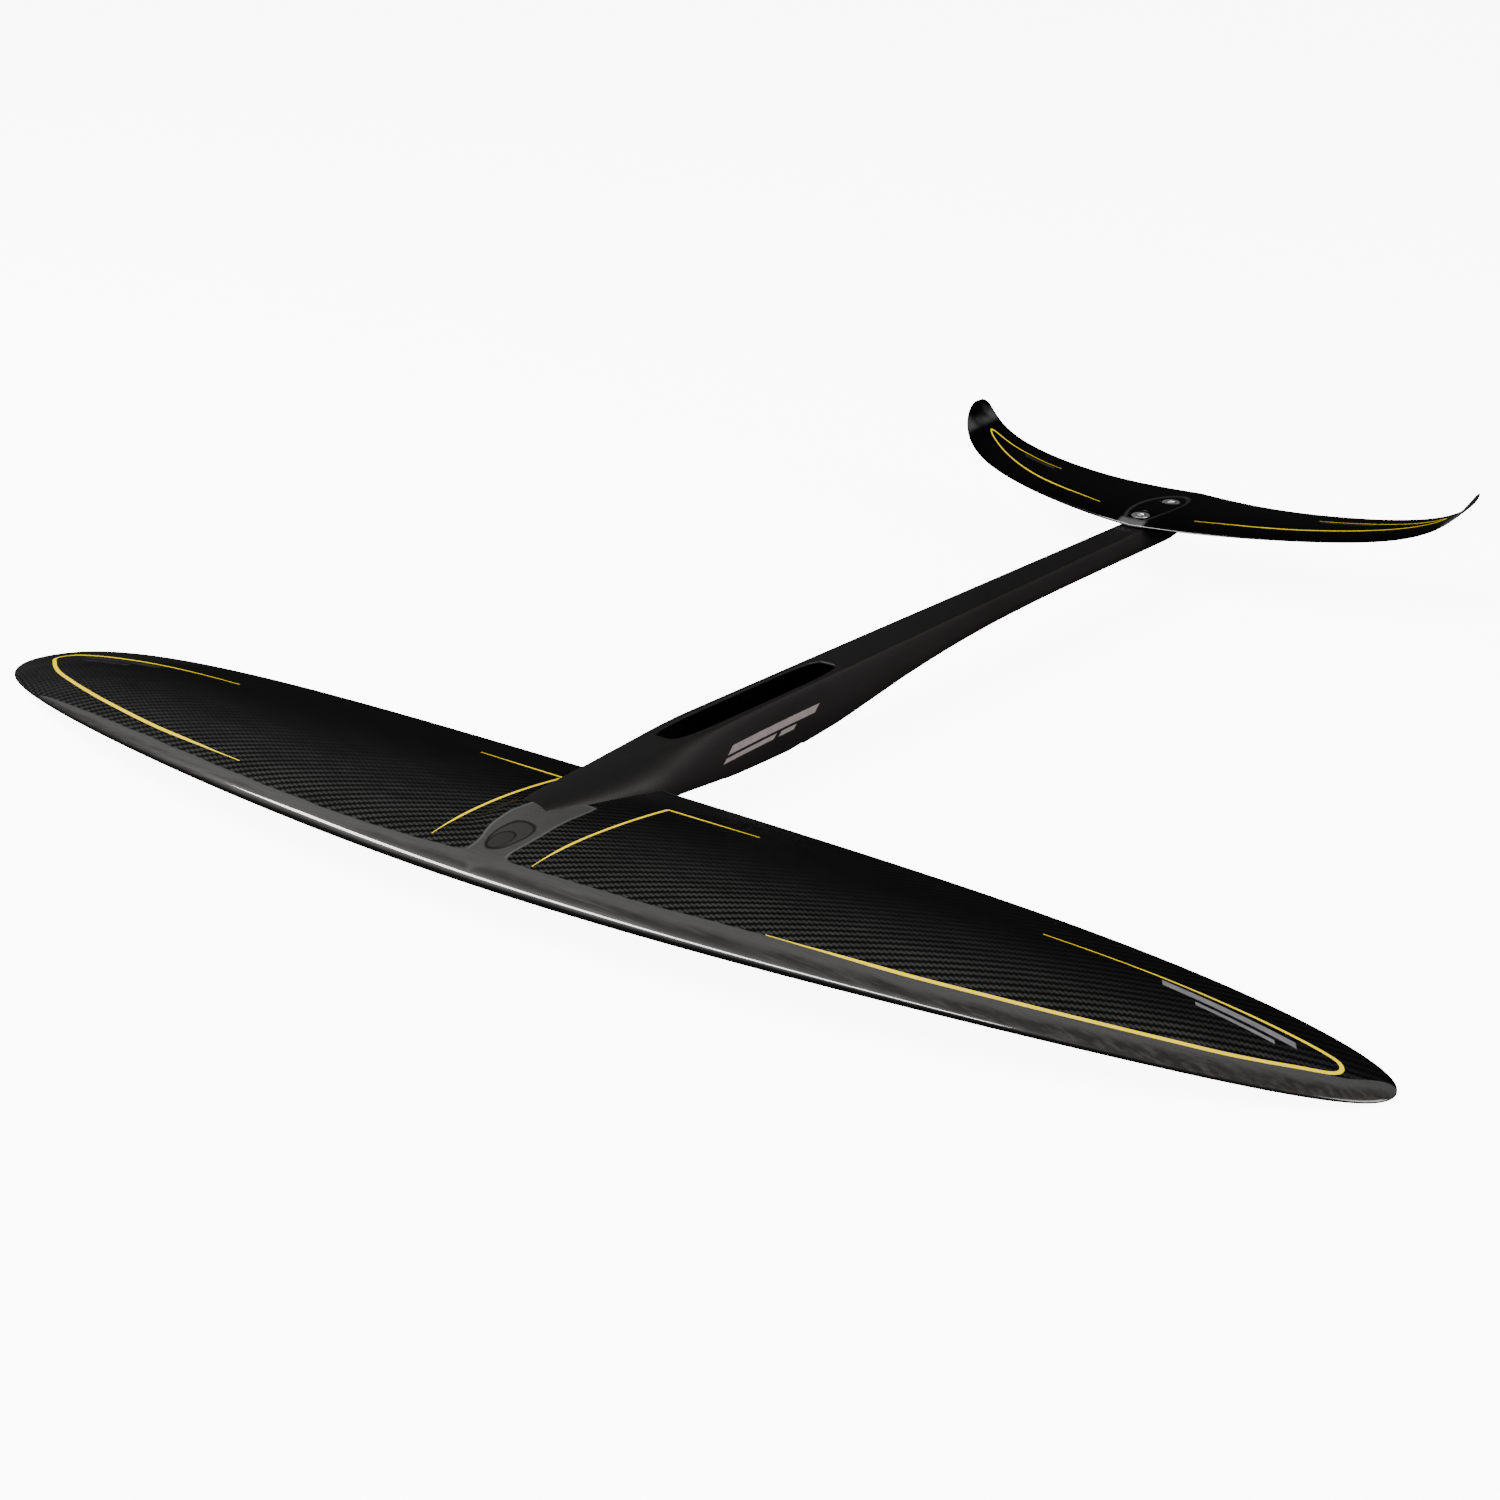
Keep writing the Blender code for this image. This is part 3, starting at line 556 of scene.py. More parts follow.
def wing_point(s, u, z):
    y, _ = wing_camber_point(s, u)
    return Vector((span_place(s), y, z))


def leading_edge_ring(s):
    rear = band_fraction(s)
    fractions = [rear * (1.0 - cos(angle)) for angle in quarter(NOSE_POINTS)]
    upper = [wing_point(s, u, wing_upper(s, u)) for u in reversed(fractions)]
    lower = [wing_point(s, u, wing_lower(s, u)) for u in fractions[1:]]
    return upper + lower


def skin_ring(s, upper_side):
    start = band_fraction(s) + SEAM / wing_chord(s)
    outer = []
    inner = []
    for k in range(CHORD_POINTS + 1):
        u = start + (1.0 - start) * k / CHORD_POINTS
        _, middle = wing_camber_point(s, u)
        near_middle = max(wing_half(s, u) - SKIN, 0.5 * SEAM)
        surface = wing_upper(s, u) if upper_side else wing_lower(s, u)
        outer.append(wing_point(s, u, surface))
        inner.append(wing_point(s, u, middle + (near_middle if upper_side else -near_middle)))
    return outer + list(reversed(inner))


def half_span_stations(end):
    root = [k * ROOT_STEP / HALF_SPAN for k in range(ROOT_STEPS + 1)]
    return root + eased(root[-1], end, OUTER_STATIONS)


def both_sides(stations):
    return [-s for s in reversed(stations[1:])] + stations


def leading_edge_stations():
    start = SKIN_END + SEAM / HALF_SPAN
    return both_sides(half_span_stations(SKIN_END) + [start] + eased(start, ROUND_TIP_END, TIP_STATIONS))


def notch_cutter(name):
    step = (STEP_AT - GAP) / NOTCH_STEPS
    places = [GAP + step * k for k in range(NOTCH_STEPS + 1)] + [STEP_AT + CUTTER_REACH]
    right = [(along(WIDEST_HALF_WIDTH, d) + GAP, NOSE_Y + d) for d in places]
    left = [(-x, y) for x, y in reversed(right)]
    front = [(-right[0][0], NOSE_Y - GAP), (0.0, NOSE_Y - GAP), (right[0][0], NOSE_Y - GAP)]
    rings = [[Vector((x, y, z)) for x, y in front + right[1:] + left[:-1]]
             for z in (-CUTTER_REACH, TOP_Z + CUTTER_REACH)]
    return loft(name, rings)


def mark(piece, name, values):
    """Store one value for each point of a piece, for the materials."""
    piece.data.attributes.new(name, "FLOAT", "POINT").data.foreach_set("value", values)


def mark_wing_places(piece):
    spans = [min(max(v.co.x / HALF_SPAN, -MARKED_SPAN), MARKED_SPAN) for v in piece.data.vertices]
    chords = [(v.co.y - wing_leading_y(s)) / wing_chord(s) for v, s in zip(piece.data.vertices, spans)]
    mark(piece, "wing_span", spans)
    mark(piece, "wing_chord", [min(max(u, 0.0), 1.0) for u in chords])


def build_wing():
    stations = both_sides(half_span_stations(SKIN_END - SEAM / HALF_SPAN))
    upper = loft("front_wing_upper_twill", [skin_ring(s, True) for s in stations])
    lower = loft("front_wing_lower_twill", [skin_ring(s, False) for s in stations])
    cut(upper, notch_cutter("upper_notch"))
    cut(lower, notch_cutter("lower_notch"))
    edge = loft("front_wing_leading_band", [leading_edge_ring(s) for s in leading_edge_stations()])
    for piece in (upper, lower, edge):
        mark_wing_places(piece)
    return upper, lower, edge


# Fuselage


def seat_height(distance):
    return TOP_Z - SEAT_DROP - SEAT_SLOPE * distance


def widest_height(distance):
    if distance <= STEP_AT:
        return seat_height(distance)
    return TOP_Z + along(WIDEST_LINE, distance)


def fuselage_half_section(distance):
    """Points from the top centre, round the side, to the bottom centre of one section."""
    flat = along(FLAT_TOP_HALF_WIDTH, distance)
    wide = along(WIDEST_HALF_WIDTH, distance)
    top = TOP_Z + along(TOP_LINE, distance)
    middle = widest_height(distance)
    bottom = TOP_Z + along(BELLY_LINE, distance)
    points = []
    for angle in quarter(EDGE_POINTS):
        across = flat + (wide - flat) * sin(angle)
        points.append((across, middle + (top - middle) * cos(angle)))
    for angle in quarter(SIDE_POINTS)[1:]:
        points.append((wide * cos(angle), middle - (middle - bottom) * sin(angle)))
    points[-1] = (0.0, bottom)
    return points


def fuselage_ring(distance):
    half = fuselage_half_section(distance)
    y = NOSE_Y + distance
    right = [Vector((x, y, z)) for x, z in half]
    left = [Vector((-x, y, z)) for x, z in reversed(half[:-1])]
    return right + left


def fuselage_distances():
    parts = [k / (FUSELAGE_STATIONS - 1) for k in range(FUSELAGE_STATIONS)]
    return [FUSELAGE_LENGTH * (part - STATION_CROWDING * sin(tau * part)) for part in parts]


def socket_outline(grow):
    outline = []
    for k in range(SOCKET_POINTS):
        lengthwise, across = rounded(tau * k / SOCKET_POINTS, SOCKET_FULLNESS)
        outline.append(((SOCKET_HALF_WIDTH + grow) * across, (0.5 * SOCKET_LENGTH + grow) * lengthwise))
    return outline


def socket_cutter():
    rim = [(TOP_Z - SOCKET_RIM * (1.0 - sin(angle)), SOCKET_RIM * (1.0 - cos(angle)))
           for angle in quarter(RIM_STEPS)]
    levels = [(0.0, 0.0)] + rim + [(TOP_Z + CUTTER_REACH, SOCKET_RIM)]
    rings = [[Vector((x, y, z)) for x, y in socket_outline(grow)] for z, grow in levels]
    return loft("socket_cutter", rings)


def under_nose_cutter():
    """Everything under the seat plane, ahead of the step in the belly."""
    reach = CUTTER_REACH
    side = [(-reach, seat_height(-reach)), (STEP_AT, seat_height(STEP_AT)),
            (STEP_AT, -reach), (-reach, -reach)]
    rings = [[Vector((x, NOSE_Y + d, z)) for d, z in side] for x in (-reach, reach)]
    return loft("under_nose_cutter", rings)


def seat_place(distance, lift):
    """Place on the seat plane's normal, with z pointing down."""
    normal = Vector((0.0, SEAT_SLOPE, 1.0)).normalized()
    origin = Vector((0.0, NOSE_Y + distance, seat_height(distance))) + normal * lift
    tilt = Matrix.Rotation(-atan(SEAT_SLOPE), 4, "X") @ Matrix.Rotation(pi, 4, "X")
    return Matrix.Translation(origin) @ tilt


def level_place(y, z, flipped=False):
    """Upright place on the centreline; flipped turns z to point down."""
    turn = Matrix.Rotation(pi if flipped else 0.0, 4, "X")
    return Matrix.Translation((0.0, y, z)) @ turn


def head_depth(size):
    return size["head"] - size["shank"] + HEAD_RIM


def screw_hole(size, place):
    bore = size["shank"] + 2.0 * GAP
    depth = head_depth(size) + 3.0 * GAP
    cone = bore + CUP_WALL
    top = size["head"] + 2.0 * CUP_WALL
    profile = [(0.0, CUTTER_REACH), (top, CUTTER_REACH), (top, -depth + top - cone),
               (cone, -depth), (bore, -depth), (bore, -CUTTER_REACH), (0.0, -CUTTER_REACH)]
    return turned("screw_hole", profile, place)


def insert_hole(size, length, place):
    radius = size["insert"] + GAP
    profile = [(0.0, CUTTER_REACH), (radius, CUTTER_REACH), (radius, -length - GAP),
               (0.0, -length - GAP)]
    return turned("insert_hole", profile, place)


def fastener_places():
    """Every screw as name, size, length, head's place, insert's mouth, insert length, body."""
    rows = []
    for name, distance in zip(("front", "middle", "rear"), WING_SCREWS):
        head = seat_place(distance, WING_HEAD_RECESS - KEEL_DEPTH)
        mouth = seat_place(distance, 0.0)
        rows.append(("wing", name, M8, WING_SCREW_LENGTH, head, mouth, WING_INSERT_LENGTH, "front_wing"))
    for name, y in (("front", -0.5 * MAST_SCREW_SPACING), ("rear", 0.5 * MAST_SCREW_SPACING)):
        belly = TOP_Z + along(BELLY_LINE, y - NOSE_Y)
        head = level_place(y, belly + MAST_HEAD_RECESS, flipped=True)
        rows.append(("mast", name, M8, MAST_SCREW_LENGTH, head, None, 0.0, "root"))
    for name, distance in zip(("front", "rear"), STAB_SCREWS):
        y = NOSE_Y + distance
        head = level_place(y, stab_surface(distance) - STAB_HEAD_RECESS)
        mouth = level_place(y, TOP_Z)
        rows.append(("stabiliser", name, M6, STAB_SCREW_LENGTH, head, mouth, STAB_INSERT_LENGTH,
                     "stabiliser"))
    return rows


def build_fuselage():
    fuselage = loft("fuselage_shaped", [fuselage_ring(d) for d in fuselage_distances()], 28.0)
    cutters = [under_nose_cutter(), socket_cutter()]
    cutters += [insert_hole(size, length, mouth)
                for _, _, size, _, _, mouth, length, _ in fastener_places() if mouth is not None]
    return cut(fuselage, *cutters, *holes_for("mast"))


def keel_ring(distance):
    wide = along(WIDEST_HALF_WIDTH, distance)
    top = seat_height(distance) - GAP
    depth = KEEL_DEPTH - GAP
    ring = []
    for k in range(KEEL_POINTS + 1):
        across, down = rounded(pi * k / KEEL_POINTS, KEEL_FULLNESS)
        ring.append(Vector((wide * across, NOSE_Y + distance, top - depth * abs(down))))
    return ring


def holes_for(family):
    return [screw_hole(row[2], row[4]) for row in fastener_places() if row[0] == family]


def build_keel():
    step = (STEP_AT - 2.0 * GAP) / KEEL_STEPS
    rings = [keel_ring(GAP + step * k) for k in range(KEEL_STEPS + 1)]
    return cut(loft("keel_block_shaped", rings, 40.0), *holes_for("wing"))


# Stabiliser


def stab_lean(t):
    """Lean of the spine at arc fraction t: it grows towards the tip and levels off."""
    linear, curl, power = STAB_CURL
    rising = linear * t + curl * t ** power
    limit = 1.0 + (rising / STAB_LEAN_LIMIT) ** STAB_LEAN_SHARPNESS
    return rising / limit ** (1.0 / STAB_LEAN_SHARPNESS)


def stab_line(t):
    x = 0.0
    z = 0.0
    step = abs(t) / STAB_SPINE_STEPS
    for k in range(STAB_SPINE_STEPS):
        lean = stab_lean((k + 0.5) * step)
        x += STAB_ARC * step * cos(lean)
        z += STAB_ARC * step * sin(lean)
    return x, z, stab_lean(abs(t))


def stab_chord(t):
    body, tip = STAB_TIP_POWERS
    root = STAB_ROOT_GROWTH * exp(-(t / STAB_ROOT_REACH) ** 2)
    return root + STAB_CHORD * (1.0 - STAB_TAPER * abs(t)) * (1.0 - abs(t) ** body) ** tip


def stab_leading(t):
    base, second, eighth = STAB_REFERENCE
    return base + second * t ** 2 + eighth * t ** 8 - STAB_AHEAD * stab_chord(t)


def pad_recess(x, distance):
    reach = hypot(x / PAD_SIZE[0], (distance - PAD_CENTRE) / PAD_SIZE[1])
    return PAD_DEPTH * smooth((1.0 - reach) / 0.10 + 0.5)


def stab_point(t, u, upper_side, lift=0.0):
    """Point of the stabiliser's surface, twisted towards the tip and lifted square to the skin."""
    x, z, lean = stab_line(t)
    chord = stab_chord(t)
    leading = stab_leading(t)
    edge = min(STAB_EDGE_HALF, EDGE_LIMIT * chord) * u
    if upper_side:
        height = half_thickness(u, STAB_UPPER * (1.0 - STAB_THINNING * t ** 2)) * chord + edge
        height += lift - pad_recess(x, leading + u * chord)
    else:
        height = -STAB_LOWER * chord * (4.0 * u * (1.0 - u)) ** STAB_LOWER_POWER - edge
    largest, power = STAB_TWIST
    twist = largest * abs(t) ** power
    axis = STAB_TWIST_AXIS * chord
    arm = u * chord - axis
    back = axis + arm * cos(twist) - height * sin(twist)
    offset = arm * sin(twist) + height * cos(twist)
    return Vector((copysign(1.0, t) * (x - offset * sin(lean)), NOSE_Y + leading + back,
                   TOP_Z + STAB_HEIGHT + z + offset * cos(lean)))


def stab_surface(distance):
    chord = stab_chord(0.0)
    u = (distance - stab_leading(0.0)) / chord
    return TOP_Z + STAB_HEIGHT + half_thickness(u, STAB_UPPER) * chord


def stab_ring(t):
    count = STAB_POINTS
    fractions = [0.5 * (1.0 - cos(pi * k / count)) for k in range(count + 1)]
    upper = [stab_point(t, u, True) for u in reversed(fractions)]
    lower = [stab_point(t, u, False) for u in fractions[1:]]
    return upper + lower


def build_stabiliser():
    root = [k * STAB_ROOT_STEP / STAB_ARC for k in range(STAB_ROOT_STEPS + 1)]
    stations = root + eased(root[-1], STAB_TIP_END, STAB_STATIONS)
    piece = loft("stabiliser_shaped", [stab_ring(t) for t in both_sides(stations)])
    cut(piece, *holes_for("stabiliser"))
    mark(piece, "stab_span", [abs(v.co.x) for v in piece.data.vertices])
    return piece


# Fasteners


def shank_profile(size, length):
    shank = size["shank"]
    pitch = size["pitch"]
    start = -head_depth(size) - 0.5 * pitch
    end = -length + 0.25 * shank
    turns = int((start - end) / pitch)
    points = [(shank, -head_depth(size)), (shank, start)]
    for k in range(turns):
        top = start - k * pitch
        points += [(shank - THREAD_DEPTH * pitch, top - THREAD_DEPTH * pitch), (shank, top - pitch)]
    points += [(shank, end), (0.75 * shank, -length), (0.0, -length)]
    return points


def build_screw(name, size, length, place):
    head = size["head"]
    drive = size["drive"]
    profile = [(0.0, 0.0), (head - RIM_ROUND, 0.0), (head - 0.3 * RIM_ROUND, -0.3 * RIM_ROUND),
               (head, -RIM_ROUND), (head, -HEAD_RIM)]
    profile += shank_profile(size, length)
    screw = turned(name, profile, place)
    wide = drive + CHAMFER
    hexagon = [(0.0, CUTTER_REACH), (wide, CUTTER_REACH), (wide, 0.0), (drive, -CHAMFER),
               (drive, -DRIVE_DEPTH), (0.0, -DRIVE_DEPTH - 0.4 * drive)]
    return cut(screw, turned("drive", hexagon, place, segments=HEX_SIDES))


def build_cup(name, size, place):
    slant = GAP * sqrt(2.0)
    inner = size["shank"] + slant
    top = size["head"] + slant - HEAD_RIM
    depth = head_depth(size)
    face = -depth + top - inner
    profile = [(inner, -depth), (top, face), (top + 0.3 * CUP_WALL, face + CUP_ROUND),
               (top + 0.8 * CUP_WALL, face + CUP_ROUND), (top + CUP_WALL, face - CUP_ROUND),
               (inner + CUP_WALL, -depth - GAP), (inner, -depth - GAP)]
    return turned(name, profile, place, closed=True)


def build_insert(name, size, length, place):
    inner = size["shank"] + THREAD_ROOM
    outer = size["insert"]
    groove = outer - CHAMFER
    step = (length - GAP) / INSERT_RIDGES
    profile = [(inner + GAP, -GAP), (groove, -GAP)]
    for k in range(INSERT_RIDGES):
        top = -GAP - step * k
        profile += [(outer, top - 0.2 * step), (outer, top - 0.7 * step), (groove, top - step)]
    profile += [(inner, -length), (inner, -2.0 * GAP)]
    return turned(name, profile, place, closed=True)


def build_fasteners(steel, black_steel, insert_steel):
    for family, name, size, length, head, mouth, insert_length, cup_body in fastener_places():
        body = family + "_screw_" + name
        screw = build_screw(body + "_turned", size, length, head)
        settle(screw, body, "stainless_steel", steel, body)
        cup = build_cup(family + "_cup_" + name + "_turned", size, head)
        look = black_steel if family == "stabiliser" else steel
        settle(cup, cup_body, "stainless_steel", look, family + "_screw_cup_" + name)
        if mouth is not None:
            insert = build_insert(family + "_insert_" + name + "_turned", size, insert_length, mouth)
            settle(insert, "root", "insert_steel", insert_steel, family + "_insert_" + name)


def settle(piece, body, slot, material, *nodes):
    """Give a piece its material and body, and hide the frame's nodes that it stands for; the slot is not
    used.
    """
    for vertex in piece.data.vertices:
        for axis in range(3):
            vertex.co[axis] = min(max(vertex.co[axis], CAD_BOX[0][axis]), CAD_BOX[1][axis])
    piece.data.materials.append(material)
    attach(piece, body)
    if nodes:
        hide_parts(*nodes)


# Painted lines and marks


def paint_ring(edges, lay):
    """Closed thin section over a row of plan points; lay(point, lift) puts one on the surface."""
    top = [lay(p, PAINT_LIFT + PAINT_THICKNESS) for p in edges]
    return top + [lay(p, PAINT_LIFT) for p in reversed(edges)]


def strip(name, centre, widths, lay):
    rings = []
    last = len(centre) - 1
    for k, point in enumerate(centre):
        ahead = centre[min(k + 1, last)] - centre[max(k - 1, 0)]
        side = Vector((-ahead.y, ahead.x)).normalized() * (0.5 * widths[k])
        rings.append(paint_ring([point - side, point, point + side], lay))
    return loft(name, rings, 40.0)


def lay_on_wing(point, lift):
    """Put a plan point (across, distance aft) on the wing's upper surface."""
    s = point.x / HALF_SPAN
    y = NOSE_Y + point.y
    u = (y - wing_leading_y(s)) / wing_chord(s)
    return Vector((point.x, y, wing_upper(s, min(max(u, 0.0), 1.0)) + lift))


def tapered(steps, full, start_part, end_part):
    widths = []
    for k in range(steps + 1):
        part = k / steps
        grow = min(part / start_part if start_part else 1.0,
                   (1.0 - part) / end_part if end_part else 1.0)
        widths.append(LINE_END_WIDTH + (full - LINE_END_WIDTH) * smooth(grow))
    return widths


def mirrored(points, side, shift):
    return [Vector((side * x + shift, y)) for x, y in points]


def build_wing_lines(material):
    for side_name, side in SIDES:
        for name, points, shift, steps, width, start_part, end_part in WING_LINES:
            centre = through(mirrored(points, side, shift), steps)
            widths = tapered(steps, width, start_part, end_part)
            piece = strip("wing_line_" + name + "_" + side_name, centre, widths, lay_on_wing)
            settle(piece, "front_wing", "twill_carbon", material)


def lay_on_stabiliser(side):
    """Put a (t, u) point, measured in metres of spine and chord, on the stabiliser."""
    return lambda point, lift: stab_point(side * point.x / STAB_ARC, point.y / STAB_CHORD, True, lift)


def build_stabiliser_lines(material):
    for side_name, side in SIDES:
        points = [(t * STAB_ARC, u * STAB_CHORD) for t, u in STAB_LOOP]
        centre = through(points, STRIP_STEPS)
        widths = tapered(STRIP_STEPS, STAB_LINE_WIDTH, 0.25, 0.35)
        piece = strip("stabiliser_line_" + side_name, centre, widths, lay_on_stabiliser(side))
        settle(piece, "stabiliser", "gloss_carbon", material)


def bar(name, corner, length, height, slant, lay):
    rings = []
    for k in range(BAR_STEPS + 1):
        start = corner[0] + length * k / BAR_STEPS
        ups = [height * j / BAR_ROWS for j in range(BAR_ROWS + 1)]
        rings.append(paint_ring([Vector((start + slant * up, corner[1] + up)) for up in ups], lay))
    return loft(name, rings, 40.0)


def fuselage_side_point(distance, height):
    half = fuselage_half_section(distance)
    for (x0, z0), (x1, z1) in zip(half, half[1:]):
        if z1 <= height <= z0:
            part = (z0 - height) / (z0 - z1)
            out = Vector((z0 - z1, 0.0, x1 - x0)).normalized()
            return Vector((x0 + (x1 - x0) * part, NOSE_Y + distance, height)), out
    return Vector((half[-1][0], NOSE_Y + distance, height)), Vector((1.0, 0.0, 0.0))


def lay_on_fuselage(side):
    """Put a (distance aft, height) point on one side of the fuselage."""
    def lay(point, lift):
        place, out = fuselage_side_point(point.x, point.y)
        place += out * lift
        place.x *= side
        return place
    return lay


def lay_tip_bar(side):
    return lambda point, lift: lay_on_wing(Vector((side * point.x + LOOP_SHIFT, point.y)), lift)


def build_marks(pale, dim, dark):
    for side_name, side in SIDES:
        rows = [("fuselage_bar_", k, row, SIDE_SLANT, lay_on_fuselage(side), "root",
                 "anodised_aluminium", pale) for k, row in enumerate(SIDE_BARS)]
        rows += [("wing_bar_", k, row, TIP_SLANT, lay_tip_bar(side), "front_wing", "twill_carbon",
                  dim if side > 0 else dark) for k, row in enumerate(TIP_BARS)]
        rows += [("stabiliser_bar_", k, row, STAB_SLANT, lay_on_stabiliser(side), "stabiliser",
                  "gloss_carbon", dark) for k, row in enumerate(STAB_BARS)]
        for name, k, (start, low, length, height), slant, lay, body, slot, look in rows:
            piece = bar("%s%s_%d" % (name, side_name, k + 1), (start, low), length, height, slant, lay)
            settle(piece, body, slot, look)


# Materials


class Value:
    """One output of a shader node, which sums and products can be made of."""

    def __init__(self, shade, socket):
        self.shade, self.socket = shade, socket

    def __add__(self, other):
        return self.shade.math("ADD", self, other)

    def __sub__(self, other):
        return self.shade.math("SUBTRACT", self, other)

    def __rsub__(self, other):
        return self.shade.math("SUBTRACT", other, self)

    def __mul__(self, other):
        return self.shade.math("MULTIPLY", self, other)

    def __truediv__(self, other):
        return self.shade.math("DIVIDE", self, other)

    def __abs__(self):
        return self.shade.math("ABSOLUTE", self)


class Shade:
    """Adds nodes to the node tree of one material, or of the world."""

    def __init__(self, owner):
        owner.use_nodes = True
        self.material = owner
        self.tree = owner.node_tree
        self.shader = self.tree.nodes.get("Principled BSDF")

    def put(self, socket, value):
        if isinstance(value, Value):
            self.tree.links.new(value.socket, socket)
        elif socket.type == "RGBA":
            socket.default_value = (*value, 1.0)
        else:
            socket.default_value = value

    def node(self, kind, inputs, output=0, **settings):
        made = self.tree.nodes.new(kind)
        for key, value in settings.items():
            setattr(made, key, value)
        for key, value in inputs.items():
            self.put(made.inputs[key], value)
        return Value(self, made.outputs[output])

    def math(self, operation, a, b=0.0, c=0.0):
        return self.node("ShaderNodeMath", {0: a, 1: b, 2: c}, operation=operation)

    def step(self, value, low, high, to_low=0.0, to_high=1.0):
        """Ease from to_low to to_high as value goes from low to high."""
        inputs = {"Value": value, "From Min": low, "From Max": high, "To Min": to_low, "To Max": to_high}
        return self.node("ShaderNodeMapRange", inputs, interpolation_type="SMOOTHSTEP")

    def mix(self, share, a, b):
        return self.node("ShaderNodeMix", {0: share, 6: a, 7: b}, 2, data_type="RGBA")

    def place(self):
        return self.node("ShaderNodeTexCoord", {}, "Object")

    def split(self, vector):
        made = self.node("ShaderNodeSeparateXYZ", {0: vector}).socket.node
        return [Value(self, axis) for axis in made.outputs]

    def noise(self, x, y, z, detail=3.0, roughness=0.55):
        scaled = self.node("ShaderNodeVectorMath", {0: self.place(), 1: (x, y, z)}, operation="MULTIPLY")
        inputs = {"Vector": scaled, "Scale": 1.0, "Detail": detail, "Roughness": roughness}
        return self.node("ShaderNodeTexNoise", inputs)

    def read(self, name):
        return self.node("ShaderNodeAttribute", {}, "Fac", attribute_name=name)

    def curve(self, value, points, low, high, bottom, top):
        """Read a curve through (value, result) points, scaled into the node's unit square."""
        result = self.node("ShaderNodeFloatCurve", {"Value": (value - low) / (high - low)})
        mapping = result.socket.node.mapping
        line = mapping.curves[0]
        while len(line.points) < len(points):
            line.points.new(0.5, 0.5)
        for point, (x, y) in zip(line.points, points):
            point.location = ((x - low) / (high - low), (y - bottom) / (top - bottom))
            point.handle_type = "AUTO_CLAMPED"
        mapping.update()
        return result * (top - bottom) + bottom

    def oval(self, x, y, centre, size):
        """How far a place in plan is from an oval's centre: 1 on the oval."""
        parts = {0: (x - centre[0]) / size[0], 1: (y - centre[1]) / size[1]}
        flat = self.node("ShaderNodeCombineXYZ", parts)
        return self.node("ShaderNodeVectorMath", {0: flat}, 1, operation="LENGTH")

    def bump(self, height, strength, distance):
        inputs = {"Strength": strength, "Distance": distance, "Height": height}
        self.put(self.shader.inputs["Normal"], self.node("ShaderNodeBump", inputs))

    def surface(self, **values):
        names = {"color": "Base Color", "roughness": "Roughness", "metallic": "Metallic",
                 "coat": "Coat Weight", "coat_roughness": "Coat Roughness",
                 "specular": "Specular IOR Level"}
        for key, value in values.items():
            self.put(self.shader.inputs[names[key]], value)
        return self.material


def new_shade(name):
    return Shade(bpy.data.materials.new(name))


def twill(shade):
    """2x2 twill: painted sheen of the woven tows (one set lit, the other barely, each crowned with
    painted shade) and their height, over the plan of the piece.
    """
    cloth = shade.node("ShaderNodeVectorRotate", {"Vector": shade.place(), "Angle": CLOTH_TURN},
                       rotation_type="Z_AXIS")
    cells = []
    crowns = []
    for axis in shade.split(cloth)[:2]:
        tows = axis / TOW
        cell = shade.math("FLOOR", tows)
        part = tows - cell
        cells.append(cell)
        crowns.append(shade.math("POWER", part * 4.0 * (1.0 - part), TOW_ROUNDNESS))
    order = shade.math("FLOORED_MODULO", cells[0] - cells[1], 4.0)
    across_on_top = shade.math("LESS_THAN", order, 1.5)
    lying = across_on_top * crowns[1]
    standing = (1.0 - across_on_top) * crowns[0]
    fibre_across = shade.noise(60.0, 3200.0, 60.0, detail=2.0)
    fibre_along = shade.noise(3200.0, 60.0, 60.0, detail=2.0)
    # Painted sheen: the lying tows are lit, the standing ones barely, each crowned with painted shade.
    tow_sheen = (lying * shade.step(fibre_across, 0.25, 0.75, 0.75, 1.25)
              + standing * shade.step(fibre_along, 0.25, 0.75, 0.04, 0.12))
    return tow_sheen, lying + standing


